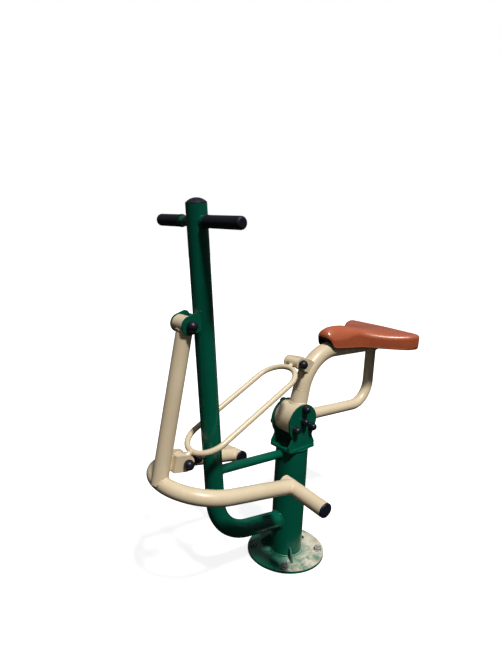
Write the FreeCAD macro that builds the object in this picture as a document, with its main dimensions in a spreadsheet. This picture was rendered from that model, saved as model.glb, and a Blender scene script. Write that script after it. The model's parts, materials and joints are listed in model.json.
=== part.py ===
"""Outdoor leg-press exerciser with a swinging saddle: parametric assembly.

Frame: +Z up, +X from the front post towards the saddle, Y across the machine.
The origin is the centre of the base flange's underside.  Millimetres.
"""
import FreeCAD, Part
import Sketcher
import math
import os

V = FreeCAD.Vector
ROT = FreeCAD.Rotation
PLC = FreeCAD.Placement

doc = FreeCAD.newDocument("leg_press")

# --------------------------------------------------------------------------
# driving dimensions
# --------------------------------------------------------------------------
DIM = {
    # base and column
    "flange_radius": 140.0, "flange_thick": 10.0, "anchor_hole_radius": 9.0,
    "anchor_pcd_radius": 119.0, "column_radius": 57.0, "column_wall": 4.5,
    "column_top": 416.0, "gusset_leg": 38.0, "gusset_thick": 6.0,
    # yoke on the column
    "saddle_plate_thick": 8.0, "saddle_plate_half_x": 62.0, "saddle_plate_half_y": 55.0,
    "cheek_thick": 6.0, "cheek_inner": 40.0, "cheek_radius": 66.0, "cheek_centre_z": 512.0,
    # front post
    "post_radius": 30.0, "post_wall": 3.5, "post_lean": 6.23, "post_ref_x": -367.65,
    "post_ref_z": 600.0, "post_top_z": 1224.0, "post_corner_z": 180.0, "post_bend": 165.0,
    "post_foot_z": 140.0, "post_cap_rise": 15.0, "post_cap_rim": 2.0, "post_cap_plug": 20.0,
    # handlebar
    "bar_z": 1176.0, "bar_radius": 15.0, "bar_wall": 2.5, "bar_half": 186.0,
    "grip_radius": 17.5, "left_grip_inner": 74.0, "left_grip_outer": 191.5,
    "right_grip_inner": 45.0, "right_grip_outer": 196.0,
    # brace
    "brace_radius": 15.0, "brace_wall": 2.5, "brace_post_z": 413.0, "brace_column_z": 393.0,
    # pivots, X and Z of each axis
    "lever_pivot_x": -466.0, "lever_pivot_z": 893.0,
    "front_pin_x": -466.0, "front_pin_z": 484.0,
    "rear_pin_x": -15.0, "rear_pin_z": 721.0,
    "hub_x": 0.0, "hub_z": 518.0,
    # lever pivot bracket, bush and pin
    "lever_ear_radius": 27.0, "lever_ear_thick": 6.0, "lever_ear_outer": 31.5,
    "lever_ear_drop": 20.0, "lever_ear_rise": 36.0, "lever_ear_corner": 14.0,
    "lever_web_thick": 8.0, "lever_bush_radius": 25.0, "lever_bush_bore": 16.0,
    "lever_bush_half": 25.0, "lever_pin_radius": 10.0, "lever_bearing_length": 22.0,
    # rubber stop between the link's front bush and the post
    "stop_radius": 13.0, "stop_z": 473.0, "stop_front_x": -439.0, "stop_back_x": -398.0,
    "stop_stud_radius": 5.0,
    # swinging lever
    "lever_radius": 24.0, "lever_wall": 3.0, "lever_lean": 9.71, "lever_axis_x": -462.3,
    "lever_length": 468.7,
    # foot bar and pegs
    "foot_bar_radius": 24.0, "foot_bar_wall": 3.0, "foot_bar_half": 145.0,
    "foot_bar_leg": 407.0, "foot_bar_set_back": 8.0,
    "peg_radius": 24.0, "peg_wall": 3.0, "peg_inner": 111.0, "peg_outer": 292.0,
    "peg_cap_thick": 6.0, "peg_droop": 12.0, "peg_sweep": 8.0,
    # front link bracket on the lever
    "front_ear_radius": 25.0, "front_ear_thick": 6.0, "front_ear_outer": 30.0,
    "front_web_thick": 6.0, "front_pin_radius": 8.0,
    # link
    "link_rod_radius": 9.0, "link_half_width": 73.0,
    "front_bush_radius": 20.0, "front_bush_bore": 15.0, "front_bush_half": 22.5,
    "front_stub_radius": 9.0, "front_apex": 40.0,
    "rear_bush_radius": 17.0, "rear_bush_bore": 12.5, "rear_bush_half": 24.0,
    "rear_apex": 32.0, "rear_stub_radius": 8.0, "rear_pin_radius": 8.0, "rear_bearing_length": 18.0,
    # hub of the seat swing
    "hub_shell_radius": 57.0, "hub_shell_wall": 4.0, "hub_shell_half": 39.0,
    "hub_web_thick": 8.0, "hub_web_inner": 23.0, "hub_boss_radius": 22.0, "hub_boss_bore": 17.0,
    "hub_boss_half": 36.5, "hub_bearing_length": 22.0, "hub_axle_radius": 12.5,
    "limit_bolt_radius": 5.0, "limit_circle": 45.0, "limit_slot_half": 5.5,
    "limit_first_angle": 88.0, "limit_travel": 25.0, "limit_spare": 0.7,
    # seat arm, strut and ears
    "arm_radius": 30.0, "arm_wall": 3.5, "arm_bend": 154.0,
    "arm_root_x": 5.0, "arm_root_z": 515.0, "arm_corner_x": 57.0, "arm_corner_z": 748.5,
    "arm_end_x": 430.0, "arm_end_z": 741.0, "arm_root_length": 104.0,
    "arm_root_radius": 34.0, "arm_plug_thick": 5.0,
    "strut_radius": 20.0, "strut_wall": 2.5, "strut_bend": 88.0, "strut_start_x": 40.0,
    "strut_start_z": 515.5, "strut_corner_x": 410.5, "strut_corner_z": 499.0,
    "rear_ear_radius": 20.0, "rear_ear_thick": 7.0, "rear_ear_inner": 24.52,
    "rear_head_radius": 12.0, "rear_head_thick": 5.0,
    # seat
    "seat_plate_thick": 5.0, "seat_plate_half": 45.0, "seat_plate_from": 125.0,
    "seat_plate_length": 115.0, "seat_bolt_radius": 4.0, "seat_bolt_x_near": 138.0,
    "seat_bolt_x_far": 227.0, "seat_bolt_y": 36.0, "seat_bottom": -1.0, "seat_top": 60.0,
    "seat_edge": 16.0, "seat_channel_half": 31.5, "seat_recess_half": 50.0,
    "crown_base": 42.0, "nose_crown_x": 13.0, "nose_crown_rise": 41.0, "nose_crown_length": 76.0,
    "nose_crown_half": 41.0, "rear_crown_x": 83.0, "rear_crown_rise": 33.0, "rear_crown_length": 122.0,
    "rear_crown_half": 44.0,
    # fasteners
    "thread_radius": 6.0, "nut_flat": 18.0, "nut_thick": 8.0, "thread_length": 11.0,
    "small_nut_flat": 16.0, "ball_radius": 16.0, "ball_centre": 10.0, "ball_cavity": 11.2,
    "ball_cavity_depth": 13.0, "cap_radius": 13.0, "cap_skirt": 12.0, "cap_cavity": 10.8,
    "running_gap": 0.05, "weld_gap": 0.03,
}

sheet = doc.addObject("Spreadsheet::Sheet", "Dims")
for row, (alias, value) in enumerate(DIM.items(), start=1):
    sheet.set("A%d" % row, alias)
    sheet.set("B%d" % row, repr(float(value)))
    sheet.setAlias("B%d" % row, alias)
doc.recompute()


def d(alias):
    return float(getattr(sheet, alias))


def bind(obj, prop, expr):
    """Bind a property to sheet cells.  Words in the expression are aliases."""
    out, word = "", ""
    for ch in expr + " ":
        if ch.isalnum() or ch == "_":
            word += ch
            continue
        if word:
            out += "Dims." + word if word in DIM else word
            word = ""
        out += ch
    obj.setExpression(prop, out.strip())


serial = [0]


def new_name(stem):
    serial[0] += 1
    return "%s_%03d" % (stem, serial[0])


nodes = []


def node(obj, label):
    obj.Label = label
    nodes.append((label, obj))
    return obj


def along(base, axis):
    return PLC(V(*base), ROT(V(0, 0, 1), V(*axis)))


def cyl(radius, height, base, axis=(0, 0, 1)):
    """Cylinder whose radius and height are expressions of sheet cells."""
    o = doc.addObject("Part::Cylinder", new_name("cyl"))
    bind(o, "Radius", radius)
    bind(o, "Height", height)
    o.Placement = along(base, axis)
    return o


def cyl_y(radius, half, x, z):
    """Cylinder along Y, centred on the mid plane; half is a dimension expression."""
    o = doc.addObject("Part::Cylinder", new_name("cyl"))
    bind(o, "Radius", radius)
    bind(o, "Height", "2 * (%s)" % half)
    o.Placement = PLC(V(x, evaluate(half), z), ROT(V(1, 0, 0), 90))
    return o


def evaluate(expr):
    """Value of a simple sum or product of sheet cells and numbers."""
    total = 0.0
    for term in expr.replace("-", "+-").split("+"):
        term = term.strip()
        if not term:
            continue
        sign = 1.0
        if term.startswith("-"):
            sign, term = -1.0, term[1:].strip()
        value = 1.0
        for factor in term.split("*"):
            factor = factor.strip()
            value *= d(factor) if factor in DIM else float(factor)
        total += sign * value
    return total


def cut(base, *tools):
    out = base
    for tool in tools:
        c = doc.addObject("Part::Cut", new_name("cut"))
        c.Base, c.Tool = out, tool
        out = c
    return out


def fuse(*shapes):
    f = doc.addObject("Part::MultiFuse", new_name("fuse"))
    f.Shapes = list(shapes)
    f.Refine = True
    return f


def group(*shapes):
    g = doc.addObject("Part::Compound", new_name("group"))
    g.Links = list(shapes)
    return g


def tube(radius, bore, height, base, axis=(0, 0, 1)):
    return cut(cyl(radius, height, base, axis), cyl(bore, height, base, axis))


def tube_y(radius, bore, half, x, z):
    return cut(cyl_y(radius, half, x, z), cyl_y(bore, half, x, z))


# --------------------------------------------------------------------------
# sketched bodies
# --------------------------------------------------------------------------
def plane_of(body, role):
    for f in body.Origin.OriginFeatures:
        if f.Role == role:
            return f
    raise RuntimeError(role)


def new_body(stem):
    return doc.addObject("PartDesign::Body", new_name(stem))


def new_sketch(body, role, offset=None):
    sk = body.newObject("Sketcher::SketchObject", new_name("sketch"))
    sk.AttachmentSupport = [(plane_of(body, role), "")]
    sk.MapMode = "FlatFace"
    if offset is not None:
        sk.AttachmentOffset = offset
    return sk


def rounded(points):
    """Corner list (x, y[, r]) to line and arc segments, closed."""
    n = len(points)
    corner = []
    for i, p in enumerate(points):
        x, y = p[0], p[1]
        r = p[2] if len(p) > 2 else 0.0
        a, c = points[i - 1], points[(i + 1) % n]
        if r <= 0:
            corner.append(((x, y), (x, y), None))
            continue
        u = (a[0] - x, a[1] - y)
        w = (c[0] - x, c[1] - y)
        lu, lw = math.hypot(*u), math.hypot(*w)
        u, w = (u[0] / lu, u[1] / lu), (w[0] / lw, w[1] / lw)
        ang = math.acos(max(-1.0, min(1.0, u[0] * w[0] + u[1] * w[1])))
        t = r / math.tan(ang / 2)
        p0 = (x + u[0] * t, y + u[1] * t)
        p1 = (x + w[0] * t, y + w[1] * t)
        m = (u[0] + w[0], u[1] + w[1])
        lm = math.hypot(*m)
        k = r / math.sin(ang / 2) / lm
        centre = (x + m[0] * k, y + m[1] * k)
        corner.append((p0, p1, (centre, r)))
    return corner


def arc_geometry(p0, p1, centre, r):
    a0 = math.atan2(p0[1] - centre[1], p0[0] - centre[0])
    a1 = math.atan2(p1[1] - centre[1], p1[0] - centre[0])
    turn = (a1 - a0 + math.pi) % (2 * math.pi) - math.pi
    circle = Part.Circle(V(centre[0], centre[1], 0), V(0, 0, 1), r)
    if turn >= 0:
        return Part.ArcOfCircle(circle, a0, a0 + turn), False
    return Part.ArcOfCircle(circle, a1, a1 - turn), True


def draw(sk, corners, closed=True, radius_alias=None):
    """Lines and corner arcs into a sketch, joined end to end."""
    radius_alias = radius_alias or {}
    ends = []
    n = len(corners)
    for i in range(n):
        p0, p1, arc = corners[i]
        if arc:
            geo, flipped = arc_geometry(p0, p1, arc[0], arc[1])
            g = sk.addGeometry(geo, False)
            ends.append((g, 2 if flipped else 1, 1 if flipped else 2))
            if i in radius_alias:
                k = sk.addConstraint(Sketcher.Constraint("Radius", g, arc[1]))
                bind(sk, "Constraints[%d]" % k, radius_alias[i])
        if i == n - 1 and not closed:
            break
        q0 = corners[(i + 1) % n][0]
        if math.hypot(q0[0] - p1[0], q0[1] - p1[1]) > 1e-6:
            g = sk.addGeometry(Part.LineSegment(V(p1[0], p1[1], 0), V(q0[0], q0[1], 0)), False)
            ends.append((g, 1, 2))
    m = len(ends)
    for i in range(m if closed else m - 1):
        a, b = ends[i], ends[(i + 1) % m]
        sk.addConstraint(Sketcher.Constraint("Coincident", a[0], a[2], b[0], b[1]))
    return [e[0] for e in ends]


def circle(sk, x, y, radius):
    """Full circle whose radius is an expression of sheet cells."""
    r = evaluate(radius)
    g = sk.addGeometry(Part.Circle(V(x, y, 0), V(0, 0, 1), r), False)
    k = sk.addConstraint(Sketcher.Constraint("Radius", g, r))
    bind(sk, "Constraints[%d]" % k, radius)
    return g


def plate_xz(stem, points, y_high, thick, holes=(), radius_alias=None, place=None):
    """Plate lying in the XZ plane from y_high down by its thickness."""
    body = new_body(stem)
    sk = new_sketch(body, "XZ_Plane", PLC(V(0, 0, -y_high), ROT()))
    draw(sk, rounded(points), True, radius_alias)
    for (x, z, r) in holes:
        circle(sk, x, z, r)
    pad = body.newObject("PartDesign::Pad", new_name("pad"))
    pad.Profile = sk
    bind(pad, "Length", thick)
    if place is not None:
        body.Placement = place
    return body


def plate_xy(stem, points, z_low, thick, holes=(), radius_alias=None, place=None):
    body = new_body(stem)
    sk = new_sketch(body, "XY_Plane", PLC(V(0, 0, z_low), ROT()))
    draw(sk, rounded(points), True, radius_alias)
    for (x, y, r) in holes:
        circle(sk, x, y, r)
    pad = body.newObject("PartDesign::Pad", new_name("pad"))
    pad.Profile = sk
    bind(pad, "Length", thick)
    if place is not None:
        body.Placement = place
    return body


def bent_tube(stem, path, bends, radius, bore, role="XZ_Plane", bend_alias=None, place=None):
    """Tube swept along straight runs and tangent bends drawn in one plane."""
    body = new_body(stem)
    sk = new_sketch(body, role)
    pts = [(p[0], p[1], bends[i - 1] if 0 < i < len(path) - 1 else 0.0) for i, p in enumerate(path)]
    edges = draw(sk, rounded(pts), False,
                 {i + 1: bend_alias for i in range(len(bends))} if bend_alias else None)
    t = (path[1][0] - path[0][0], path[1][1] - path[0][1])
    if role == "XZ_Plane":
        start, tangent = V(path[0][0], 0, path[0][1]), V(t[0], 0, t[1])
    else:
        start, tangent = V(path[0][0], path[0][1], 0), V(t[0], t[1], 0)
    prof = new_sketch(body, "XY_Plane", PLC(start, ROT(V(0, 0, 1), tangent)))
    circle(prof, 0, 0, radius)
    if bore:
        circle(prof, 0, 0, bore)
    doc.recompute()
    pipe = body.newObject("PartDesign::AdditivePipe", new_name("pipe"))
    pipe.Profile = prof
    pipe.Spine = (sk, ["Edge%d" % (i + 1) for i in range(len(edges))])
    if place is not None:
        body.Placement = place
    return body


def turned(stem, points, place, radius_alias=None):
    """Body of revolution about its own Z axis; points are (r, z) corners."""
    body = new_body(stem)
    sk = new_sketch(body, "XZ_Plane")
    draw(sk, rounded(points), True, radius_alias)
    rev = body.newObject("PartDesign::Revolution", new_name("turn"))
    rev.Profile = sk
    rev.ReferenceAxis = (sk, ["V_Axis"])
    rev.Angle = 360.0
    body.Placement = place
    return body


def nut(flat, thick, bore, base, axis):
    """Hexagon nut standing on its base point."""
    prism = doc.addObject("Part::Prism", new_name("hex"))
    prism.Polygon = 6
    bind(prism, "Circumradius", "%s * 0.57735" % flat)
    bind(prism, "Height", thick)
    prism.Placement = along(base, axis)
    return cut(prism, cyl(bore, thick, base, axis))


# --------------------------------------------------------------------------
# derived directions
# --------------------------------------------------------------------------
lean = math.radians(d("post_lean"))


def post_x(z):
    return d("post_ref_x") - math.tan(lean) * (z - d("post_ref_z"))


post_up = V(-math.sin(lean), 0, math.cos(lean))
lever_tilt = math.radians(d("lever_lean"))
lever_down = V(-math.sin(lever_tilt), 0, -math.cos(lever_tilt))
lever_back = V(math.cos(lever_tilt), 0, -math.sin(lever_tilt))
lever_frame = ROT(V(0, 1, 0), d("lever_lean"))
A = V(d("lever_pivot_x"), 0, d("lever_pivot_z"))
C = V(d("front_pin_x"), 0, d("front_pin_z"))
D = V(d("rear_pin_x"), 0, d("rear_pin_z"))
B = V(d("hub_x"), 0, d("hub_z"))
link_dir = (D - C).normalize()
link_len = (D - C).Length
link_frame = ROT(V(0, 1, 0), -math.degrees(math.atan2(link_dir.z, link_dir.x)))

# --------------------------------------------------------------------------
# base, column and yoke
# --------------------------------------------------------------------------
body = new_body("flange")
sk = new_sketch(body, "XY_Plane")
circle(sk, 0, 0, "flange_radius")
pad = body.newObject("PartDesign::Pad", new_name("pad"))
pad.Profile = sk
bind(pad, "Length", "flange_thick")
doc.recompute()
hole_sk = new_sketch(body, "XY_Plane", PLC(V(0, 0, d("flange_thick")), ROT()))
circle(hole_sk, d("anchor_pcd_radius") * math.cos(math.pi / 4),
       d("anchor_pcd_radius") * math.sin(math.pi / 4), "anchor_hole_radius")
pocket = body.newObject("PartDesign::Pocket", new_name("anchor_hole"))
pocket.Profile = hole_sk
pocket.Type = "ThroughAll"
doc.recompute()
polar = body.newObject("PartDesign::PolarPattern", new_name("anchor_holes"))
polar.Originals = [pocket]
polar.Axis = (plane_of(body, "Z_Axis"), [""])
polar.Angle = 360.0
polar.Occurrences = 4
body.Tip = polar
doc.recompute()
rim = []
for i, e in enumerate(polar.Shape.Edges, start=1):
    if e.Curve.TypeId == "Part::GeomCircle" and abs(e.Curve.Radius - d("flange_radius")) < 1e-6:
        if abs(e.CenterOfMass.z - d("flange_thick")) < 1e-6:
            rim.append("Edge%d" % i)
edge = body.newObject("PartDesign::Chamfer", new_name("rim"))
edge.Base = (polar, rim)
edge.Size = 1.5
node(body, "base_flange")

node(tube("column_radius", "column_radius - column_wall", "column_top - flange_thick",
          (0, 0, d("flange_thick"))), "column_tube")

g = []
r0 = d("column_radius") + 0.1
leg = d("gusset_leg")
for a in (-120.0, 0.0, 120.0):
    half = d("gusset_thick") / 2
    g.append(plate_xz("gusset", [(r0, 0), (r0 + leg, 0), (r0 + leg, 6), (r0 + 6, leg), (r0, leg)],
                      half, "gusset_thick",
                      place=PLC(V(0, 0, d("flange_thick")), ROT(V(0, 0, 1), a))))
node(group(*g), "foot_gussets")

hx, hy = d("saddle_plate_half_x"), d("saddle_plate_half_y")
node(plate_xy("saddle", [(-hx, -hy, 14), (hx, -hy, 14), (hx, hy, 14), (-hx, hy, 14)],
              d("column_top"), "saddle_plate_thick"), "yoke_saddle_plate")

cheek_z = d("column_top") + d("saddle_plate_thick")
cr, cz = d("cheek_radius"), d("cheek_centre_z")
limit_angles = [d("limit_first_angle") + 120.0 * i for i in range(3)]
limit_xz = [(B.x + d("limit_circle") * math.cos(math.radians(a)),
             B.z + d("limit_circle") * math.sin(math.radians(a))) for a in limit_angles]
cheek_holes = [(B.x, B.z, "hub_axle_radius + running_gap")]
cheek_holes += [(x, z, "limit_bolt_radius + running_gap") for x, z in limit_xz]


def cheek_outline():
    """Round top, waist and flared foot of a yoke cheek, as sketch corners."""
    side = [(hx, cheek_z, 3.0), (hx, cheek_z + 10, 7.0), (46.0, cheek_z + 38, 14.0)]
    right = side
    left = [(-x, z, r) for x, z, r in reversed(side)]
    top = [(cr, cz, 0.0), (cr, cz + cr, cr - 0.01), (-cr, cz + cr, cr - 0.01), (-cr, cz, 0.0)]
    # the flank between waist and round top follows the round for a short way
    a = math.radians(-28.0)
    flank_r = (cr * math.cos(a), cz + cr * math.sin(a), 30.0)
    flank_l = (-flank_r[0], flank_r[1], 30.0)
    return right + [flank_r] + top + [flank_l] + left


for label, y_high in (("yoke_cheek_left", d("cheek_inner") + d("cheek_thick")),
                      ("yoke_cheek_right", -d("cheek_inner"))):
    node(plate_xz("cheek", cheek_outline(), y_high, "cheek_thick", cheek_holes), label)

# --------------------------------------------------------------------------
# front post, cap, handlebar, brace
# --------------------------------------------------------------------------
zt, zc = d("post_top_z"), d("post_corner_z")
post = bent_tube("post", [(post_x(zt), zt), (post_x(zc), zc), (-30.0, d("post_foot_z"))],
                 [d("post_bend")], "post_radius", "post_radius - post_wall", bend_alias="post_bend")
column_space = cyl("column_radius + weld_gap", "column_top", (0, 0, 0))
bar_hole = cyl_y("bar_radius + weld_gap", "bar_half", post_x(d("bar_z")), d("bar_z"))
node(cut(post, column_space, bar_hole), "front_post")

rp, rise, rim_z = d("post_radius"), d("post_cap_rise"), d("post_cap_rim")
plug_r = rp - d("post_wall") - 0.1
# shallow dome: one arc from the rim to the crown
dome_r = (rp * rp + (rise - rim_z) ** 2) / (2 * (rise - rim_z))
dome_x = dome_r * math.tan(math.asin(rp / dome_r) / 2)
node(turned("cap", [(0, -d("post_cap_plug")), (plug_r, -d("post_cap_plug")), (plug_r, 0.05), (rp, 0.05),
                    (rp, rim_z), (dome_x, rise, dome_r * 0.97), (0, rise)],
            PLC(V(post_x(zt), 0, zt), ROT(V(0, 0, 1), post_up))), "post_cap")

bx, bz = post_x(d("bar_z")), d("bar_z")
node(tube_y("bar_radius", "bar_radius - bar_wall", "bar_half", bx, bz), "handlebar_tube")


def grip(side, stem):
    """Rubber sleeve with a rounded closed end, ribbed collar at the inner end."""
    r, ri = d("grip_radius"), d("bar_radius") + 0.05
    a, b, e = d(stem + "_inner"), d(stem + "_outer"), d("bar_half") + 0.5
    pts = [(ri, a), (r + 0.8, a), (r + 0.8, a + 5), (r, a + 6.5), (r, b, 8.0), (0, b), (0, e), (ri, e)]
    axis = V(0, side, 0)
    return turned("grip", pts, PLC(V(bx, 0, bz), ROT(V(0, 0, 1), axis)))


node(grip(1, "left_grip"), "left_grip")
node(grip(-1, "right_grip"), "right_grip")

b0 = V(post_x(d("brace_post_z")), 0, d("brace_post_z"))
b1 = V(0, 0, d("brace_column_z"))
brace_axis = b1 - b0
brace = doc.addObject("Part::Cylinder", new_name("brace"))
bind(brace, "Radius", "brace_radius")
brace.Height = brace_axis.Length
brace.Placement = along(b0, brace_axis)
brace_bore = doc.addObject("Part::Cylinder", new_name("brace_bore"))
bind(brace_bore, "Radius", "brace_radius - brace_wall")
brace_bore.Height = brace_axis.Length
brace_bore.Placement = along(b0, brace_axis)
post_line = doc.addObject("Part::Cylinder", new_name("post_line"))
bind(post_line, "Radius", "post_radius + weld_gap")
post_line.Height = 420.0
post_line.Placement = along((post_x(250.0), 0, 250.0), post_up)
node(cut(brace, brace_bore, post_line, cyl("column_radius + weld_gap", "column_top", (0, 0, 0))), "brace_tube")

# --------------------------------------------------------------------------
# bracket, pin and covers of the lever pivot, on the front post
# --------------------------------------------------------------------------
def u_bracket(pivot, frame, reach, ear_r, ear_t, outer, web_t, hole, drop=None, rise=None, corner=0.0):
    """Two round-ended ears on a web, the web standing off the pivot by reach along local +X.

    drop and rise set how far the ears reach below and above the pivot at the web, with rounded corners there.
    """
    place = PLC(pivot, frame)
    x1 = reach
    lo, hi = (drop or ear_r), (rise or ear_r)
    pts = [(x1, -lo, corner * 0.4), (x1, hi, corner), (0, ear_r, ear_r if rise else 0.0),
           (-ear_r, ear_r, ear_r - 0.01), (-ear_r, -ear_r, ear_r - 0.01), (0, -ear_r)]
    if rise:
        # the upper edge runs as a tangent from the round end to the raised corner
        dist = math.hypot(x1, hi)
        a = math.atan2(hi, x1) + math.acos(ear_r / dist)
        b = -math.atan2(lo, x1) - math.acos(ear_r / math.hypot(x1, lo)) if lo != ear_r else -math.pi / 2
        steps = 16
        turn = [a + (b + 2 * math.pi - a) * i / steps for i in range(steps + 1)]
        pts = [(x1, -lo, corner * 0.4), (x1, hi, corner)]
        pts += [(ear_r * math.cos(t), ear_r * math.sin(t)) for t in turn]
    ears = []
    for y_high in (evaluate(outer), -evaluate(outer) + evaluate(ear_t)):
        ears.append(plate_xz("ear", pts, y_high, ear_t, [(0, 0, hole)], place=place))
    web = doc.addObject("Part::Box", new_name("web"))
    bind(web, "Length", web_t)
    bind(web, "Width", "2 * (%s)" % outer)
    web.Height = lo + hi - 1.4 * corner
    web.Placement = place.multiply(PLC(V(x1 - evaluate(web_t), -evaluate(outer), -lo + 0.4 * corner), ROT()))
    return fuse(ears[0], web, ears[1])


post_perp = V(math.cos(lean), 0, math.sin(lean))
reach_a = (V(post_x(A.z), 0, A.z) - A).dot(post_perp) - d("post_radius") - d("weld_gap")
node(u_bracket(A, ROT(V(0, 1, 0), -d("post_lean")), reach_a, d("lever_ear_radius"), "lever_ear_thick",
               "lever_ear_outer", "lever_web_thick", "lever_pin_radius + weld_gap", d("lever_ear_drop"),
               d("lever_ear_rise"), d("lever_ear_corner")), "lever_bracket")


def shoulder_pin(x, z, radius, half):
    """Round pin with a threaded stub at each end."""
    return fuse(cyl_y(radius, half, x, z), cyl_y("thread_radius", "%s + thread_length" % half, x, z))


def pin_nuts(x, z, face, flat="nut_flat", bore="thread_radius + weld_gap"):
    y = evaluate(face)
    return [nut(flat, "nut_thick", bore, (x, y, z), (0, 1, 0)),
            nut(flat, "nut_thick", bore, (x, -y, z), (0, -1, 0))]


def ball_cap(x, z, face, side):
    """Ball-shaped cover with a flat foot and a socket for the nut."""
    r, c = d("ball_radius"), d("ball_centre")
    foot = math.sqrt(r * r - c * c)
    body = new_body("ball")
    sk = new_sketch(body, "XZ_Plane")
    a0 = math.atan2(-c, foot)
    g0 = sk.addGeometry(Part.ArcOfCircle(Part.Circle(V(0, c, 0), V(0, 0, 1), r), a0, math.pi / 2), False)
    k = sk.addConstraint(Sketcher.Constraint("Radius", g0, r))
    bind(sk, "Constraints[%d]" % k, "ball_radius")
    ci, dep = d("ball_cavity"), d("ball_cavity_depth")
    corner = [(0, c + r), (0, dep), (ci, dep), (ci, 0), (foot, 0)]
    for p, q in zip(corner[:-1], corner[1:]):
        sk.addGeometry(Part.LineSegment(V(p[0], p[1], 0), V(q[0], q[1], 0)), False)
    order = [0, 1, 2, 3, 4]
    for i in order:
        a, b = i, (i + 1) % 5
        pa = 2
        pb = 1
        if a == 4:
            sk.addConstraint(Sketcher.Constraint("Coincident", a, pa, 0, 1))
        else:
            sk.addConstraint(Sketcher.Constraint("Coincident", a, pa, b, pb))
    rev = body.newObject("PartDesign::Revolution", new_name("turn"))
    rev.Profile = sk
    rev.ReferenceAxis = (sk, ["V_Axis"])
    rev.Angle = 360.0
    body.Placement = PLC(V(x, side * face, z), ROT(V(0, 0, 1), V(0, side, 0)))
    return body


def hub_cap(x, z, face, side):
    """Smaller round-nosed nut cover."""
    r, s = d("cap_radius"), d("cap_skirt")
    ci, dep = d("cap_cavity"), 12.5
    pts = [(ci, 0), (r - 0.6, 0), (r, 1.2), (r, s + r, r - 0.01), (0, s + r), (0, dep), (ci, dep)]
    return turned("hub_cap", pts, PLC(V(x, side * face, z), ROT(V(0, 0, 1), V(0, side, 0))))


node(shoulder_pin(A.x, A.z, "lever_pin_radius", "lever_ear_outer"), "lever_pin")
node(group(*pin_nuts(A.x, A.z, "lever_ear_outer")), "lever_pin_nuts")
node(group(ball_cap(A.x, A.z, d("lever_ear_outer"), 1), ball_cap(A.x, A.z, d("lever_ear_outer"), -1)),
     "lever_pin_caps")

# rubber stop on a stud on the front of the post, facing the link's front bush
stop = doc.addObject("Part::Cylinder", new_name("stop"))
bind(stop, "Radius", "stop_radius")
bind(stop, "Height", "stop_back_x - stop_front_x")
stop.Placement = along((d("stop_front_x"), 0, d("stop_z")), (1, 0, 0))
doc.recompute()
stop_edge = doc.addObject("Part::Fillet", new_name("stop_edge"))
stop_edge.Base = stop
stop_edge.Edges = [(i, 2.0, 2.0) for i, e in enumerate(stop.Shape.Edges, start=1)
                   if e.Curve.TypeId == "Part::GeomCircle"]
node(stop_edge, "stop_buffer")
stud = doc.addObject("Part::Cylinder", new_name("stud"))
bind(stud, "Radius", "stop_stud_radius")
stud.Height = 30.0
stud.Placement = along((d("stop_back_x") + d("weld_gap"), 0, d("stop_z")), (1, 0, 0))
post_line2 = doc.addObject("Part::Cylinder", new_name("post_line"))
bind(post_line2, "Radius", "post_radius + weld_gap")
post_line2.Height = 420.0
post_line2.Placement = along((post_x(250.0), 0, 250.0), post_up)
node(cut(stud, post_line2), "stop_buffer_stud")

# --------------------------------------------------------------------------
# hub axle, travel-limit bolts and covers, on the yoke
# --------------------------------------------------------------------------
node(shoulder_pin(B.x, B.z, "hub_axle_radius", "cheek_inner + cheek_thick"), "hub_axle")
node(group(*pin_nuts(B.x, B.z, "cheek_inner + cheek_thick")), "hub_axle_nuts")
node(group(*[cyl_y("limit_bolt_radius", "cheek_inner + cheek_thick + thread_length", x, z)
             for x, z in limit_xz]), "limit_bolts")
g = []
for x, z in limit_xz:
    g += pin_nuts(x, z, "cheek_inner + cheek_thick", "small_nut_flat", "limit_bolt_radius + weld_gap")
node(group(*g), "limit_bolt_nuts")
face = d("cheek_inner") + d("cheek_thick")
node(group(*[hub_cap(x, z, face, s) for s in (1, -1) for x, z in [(B.x, B.z)] + limit_xz]), "hub_caps")

# --------------------------------------------------------------------------
# swinging lever
# --------------------------------------------------------------------------
node(tube_y("lever_bush_radius", "lever_bush_bore", "lever_bush_half", A.x, A.z), "lever_bush")
g = []
for s in (1, -1):
    far = d("lever_bush_half") * s
    base = (A.x, far, A.z)
    g.append(cut(cyl("lever_bush_bore - weld_gap", "lever_bearing_length", base, (0, -s, 0)),
                 cyl("lever_pin_radius + running_gap", "lever_bearing_length", base, (0, -s, 0))))
node(group(*g), "lever_bearings")

lever_top = V(d("lever_axis_x"), 0, A.z)
lever_end = lever_top + lever_down * d("lever_length")
apex = lever_end + lever_back * d("foot_bar_set_back")
bar_place = PLC(apex, lever_frame)
half, leg = d("foot_bar_half"), d("foot_bar_leg") - d("foot_bar_set_back")
bend = half - 2.0
foot_path = [(leg, -half), (0, -half), (0, half), (leg, half)]


def foot_bar_shape(radius, bore):
    return bent_tube("foot_bar", foot_path, [bend, bend], radius, bore, "XY_Plane", place=bar_place)


foot_solid = foot_bar_shape("foot_bar_radius + weld_gap", None)
lever = tube("lever_radius", "lever_radius - lever_wall", "lever_length", lever_top, lever_down)
node(cut(lever, cyl_y("lever_bush_radius + weld_gap", "lever_bush_half", A.x, A.z), foot_solid), "lever_tube")

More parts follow.
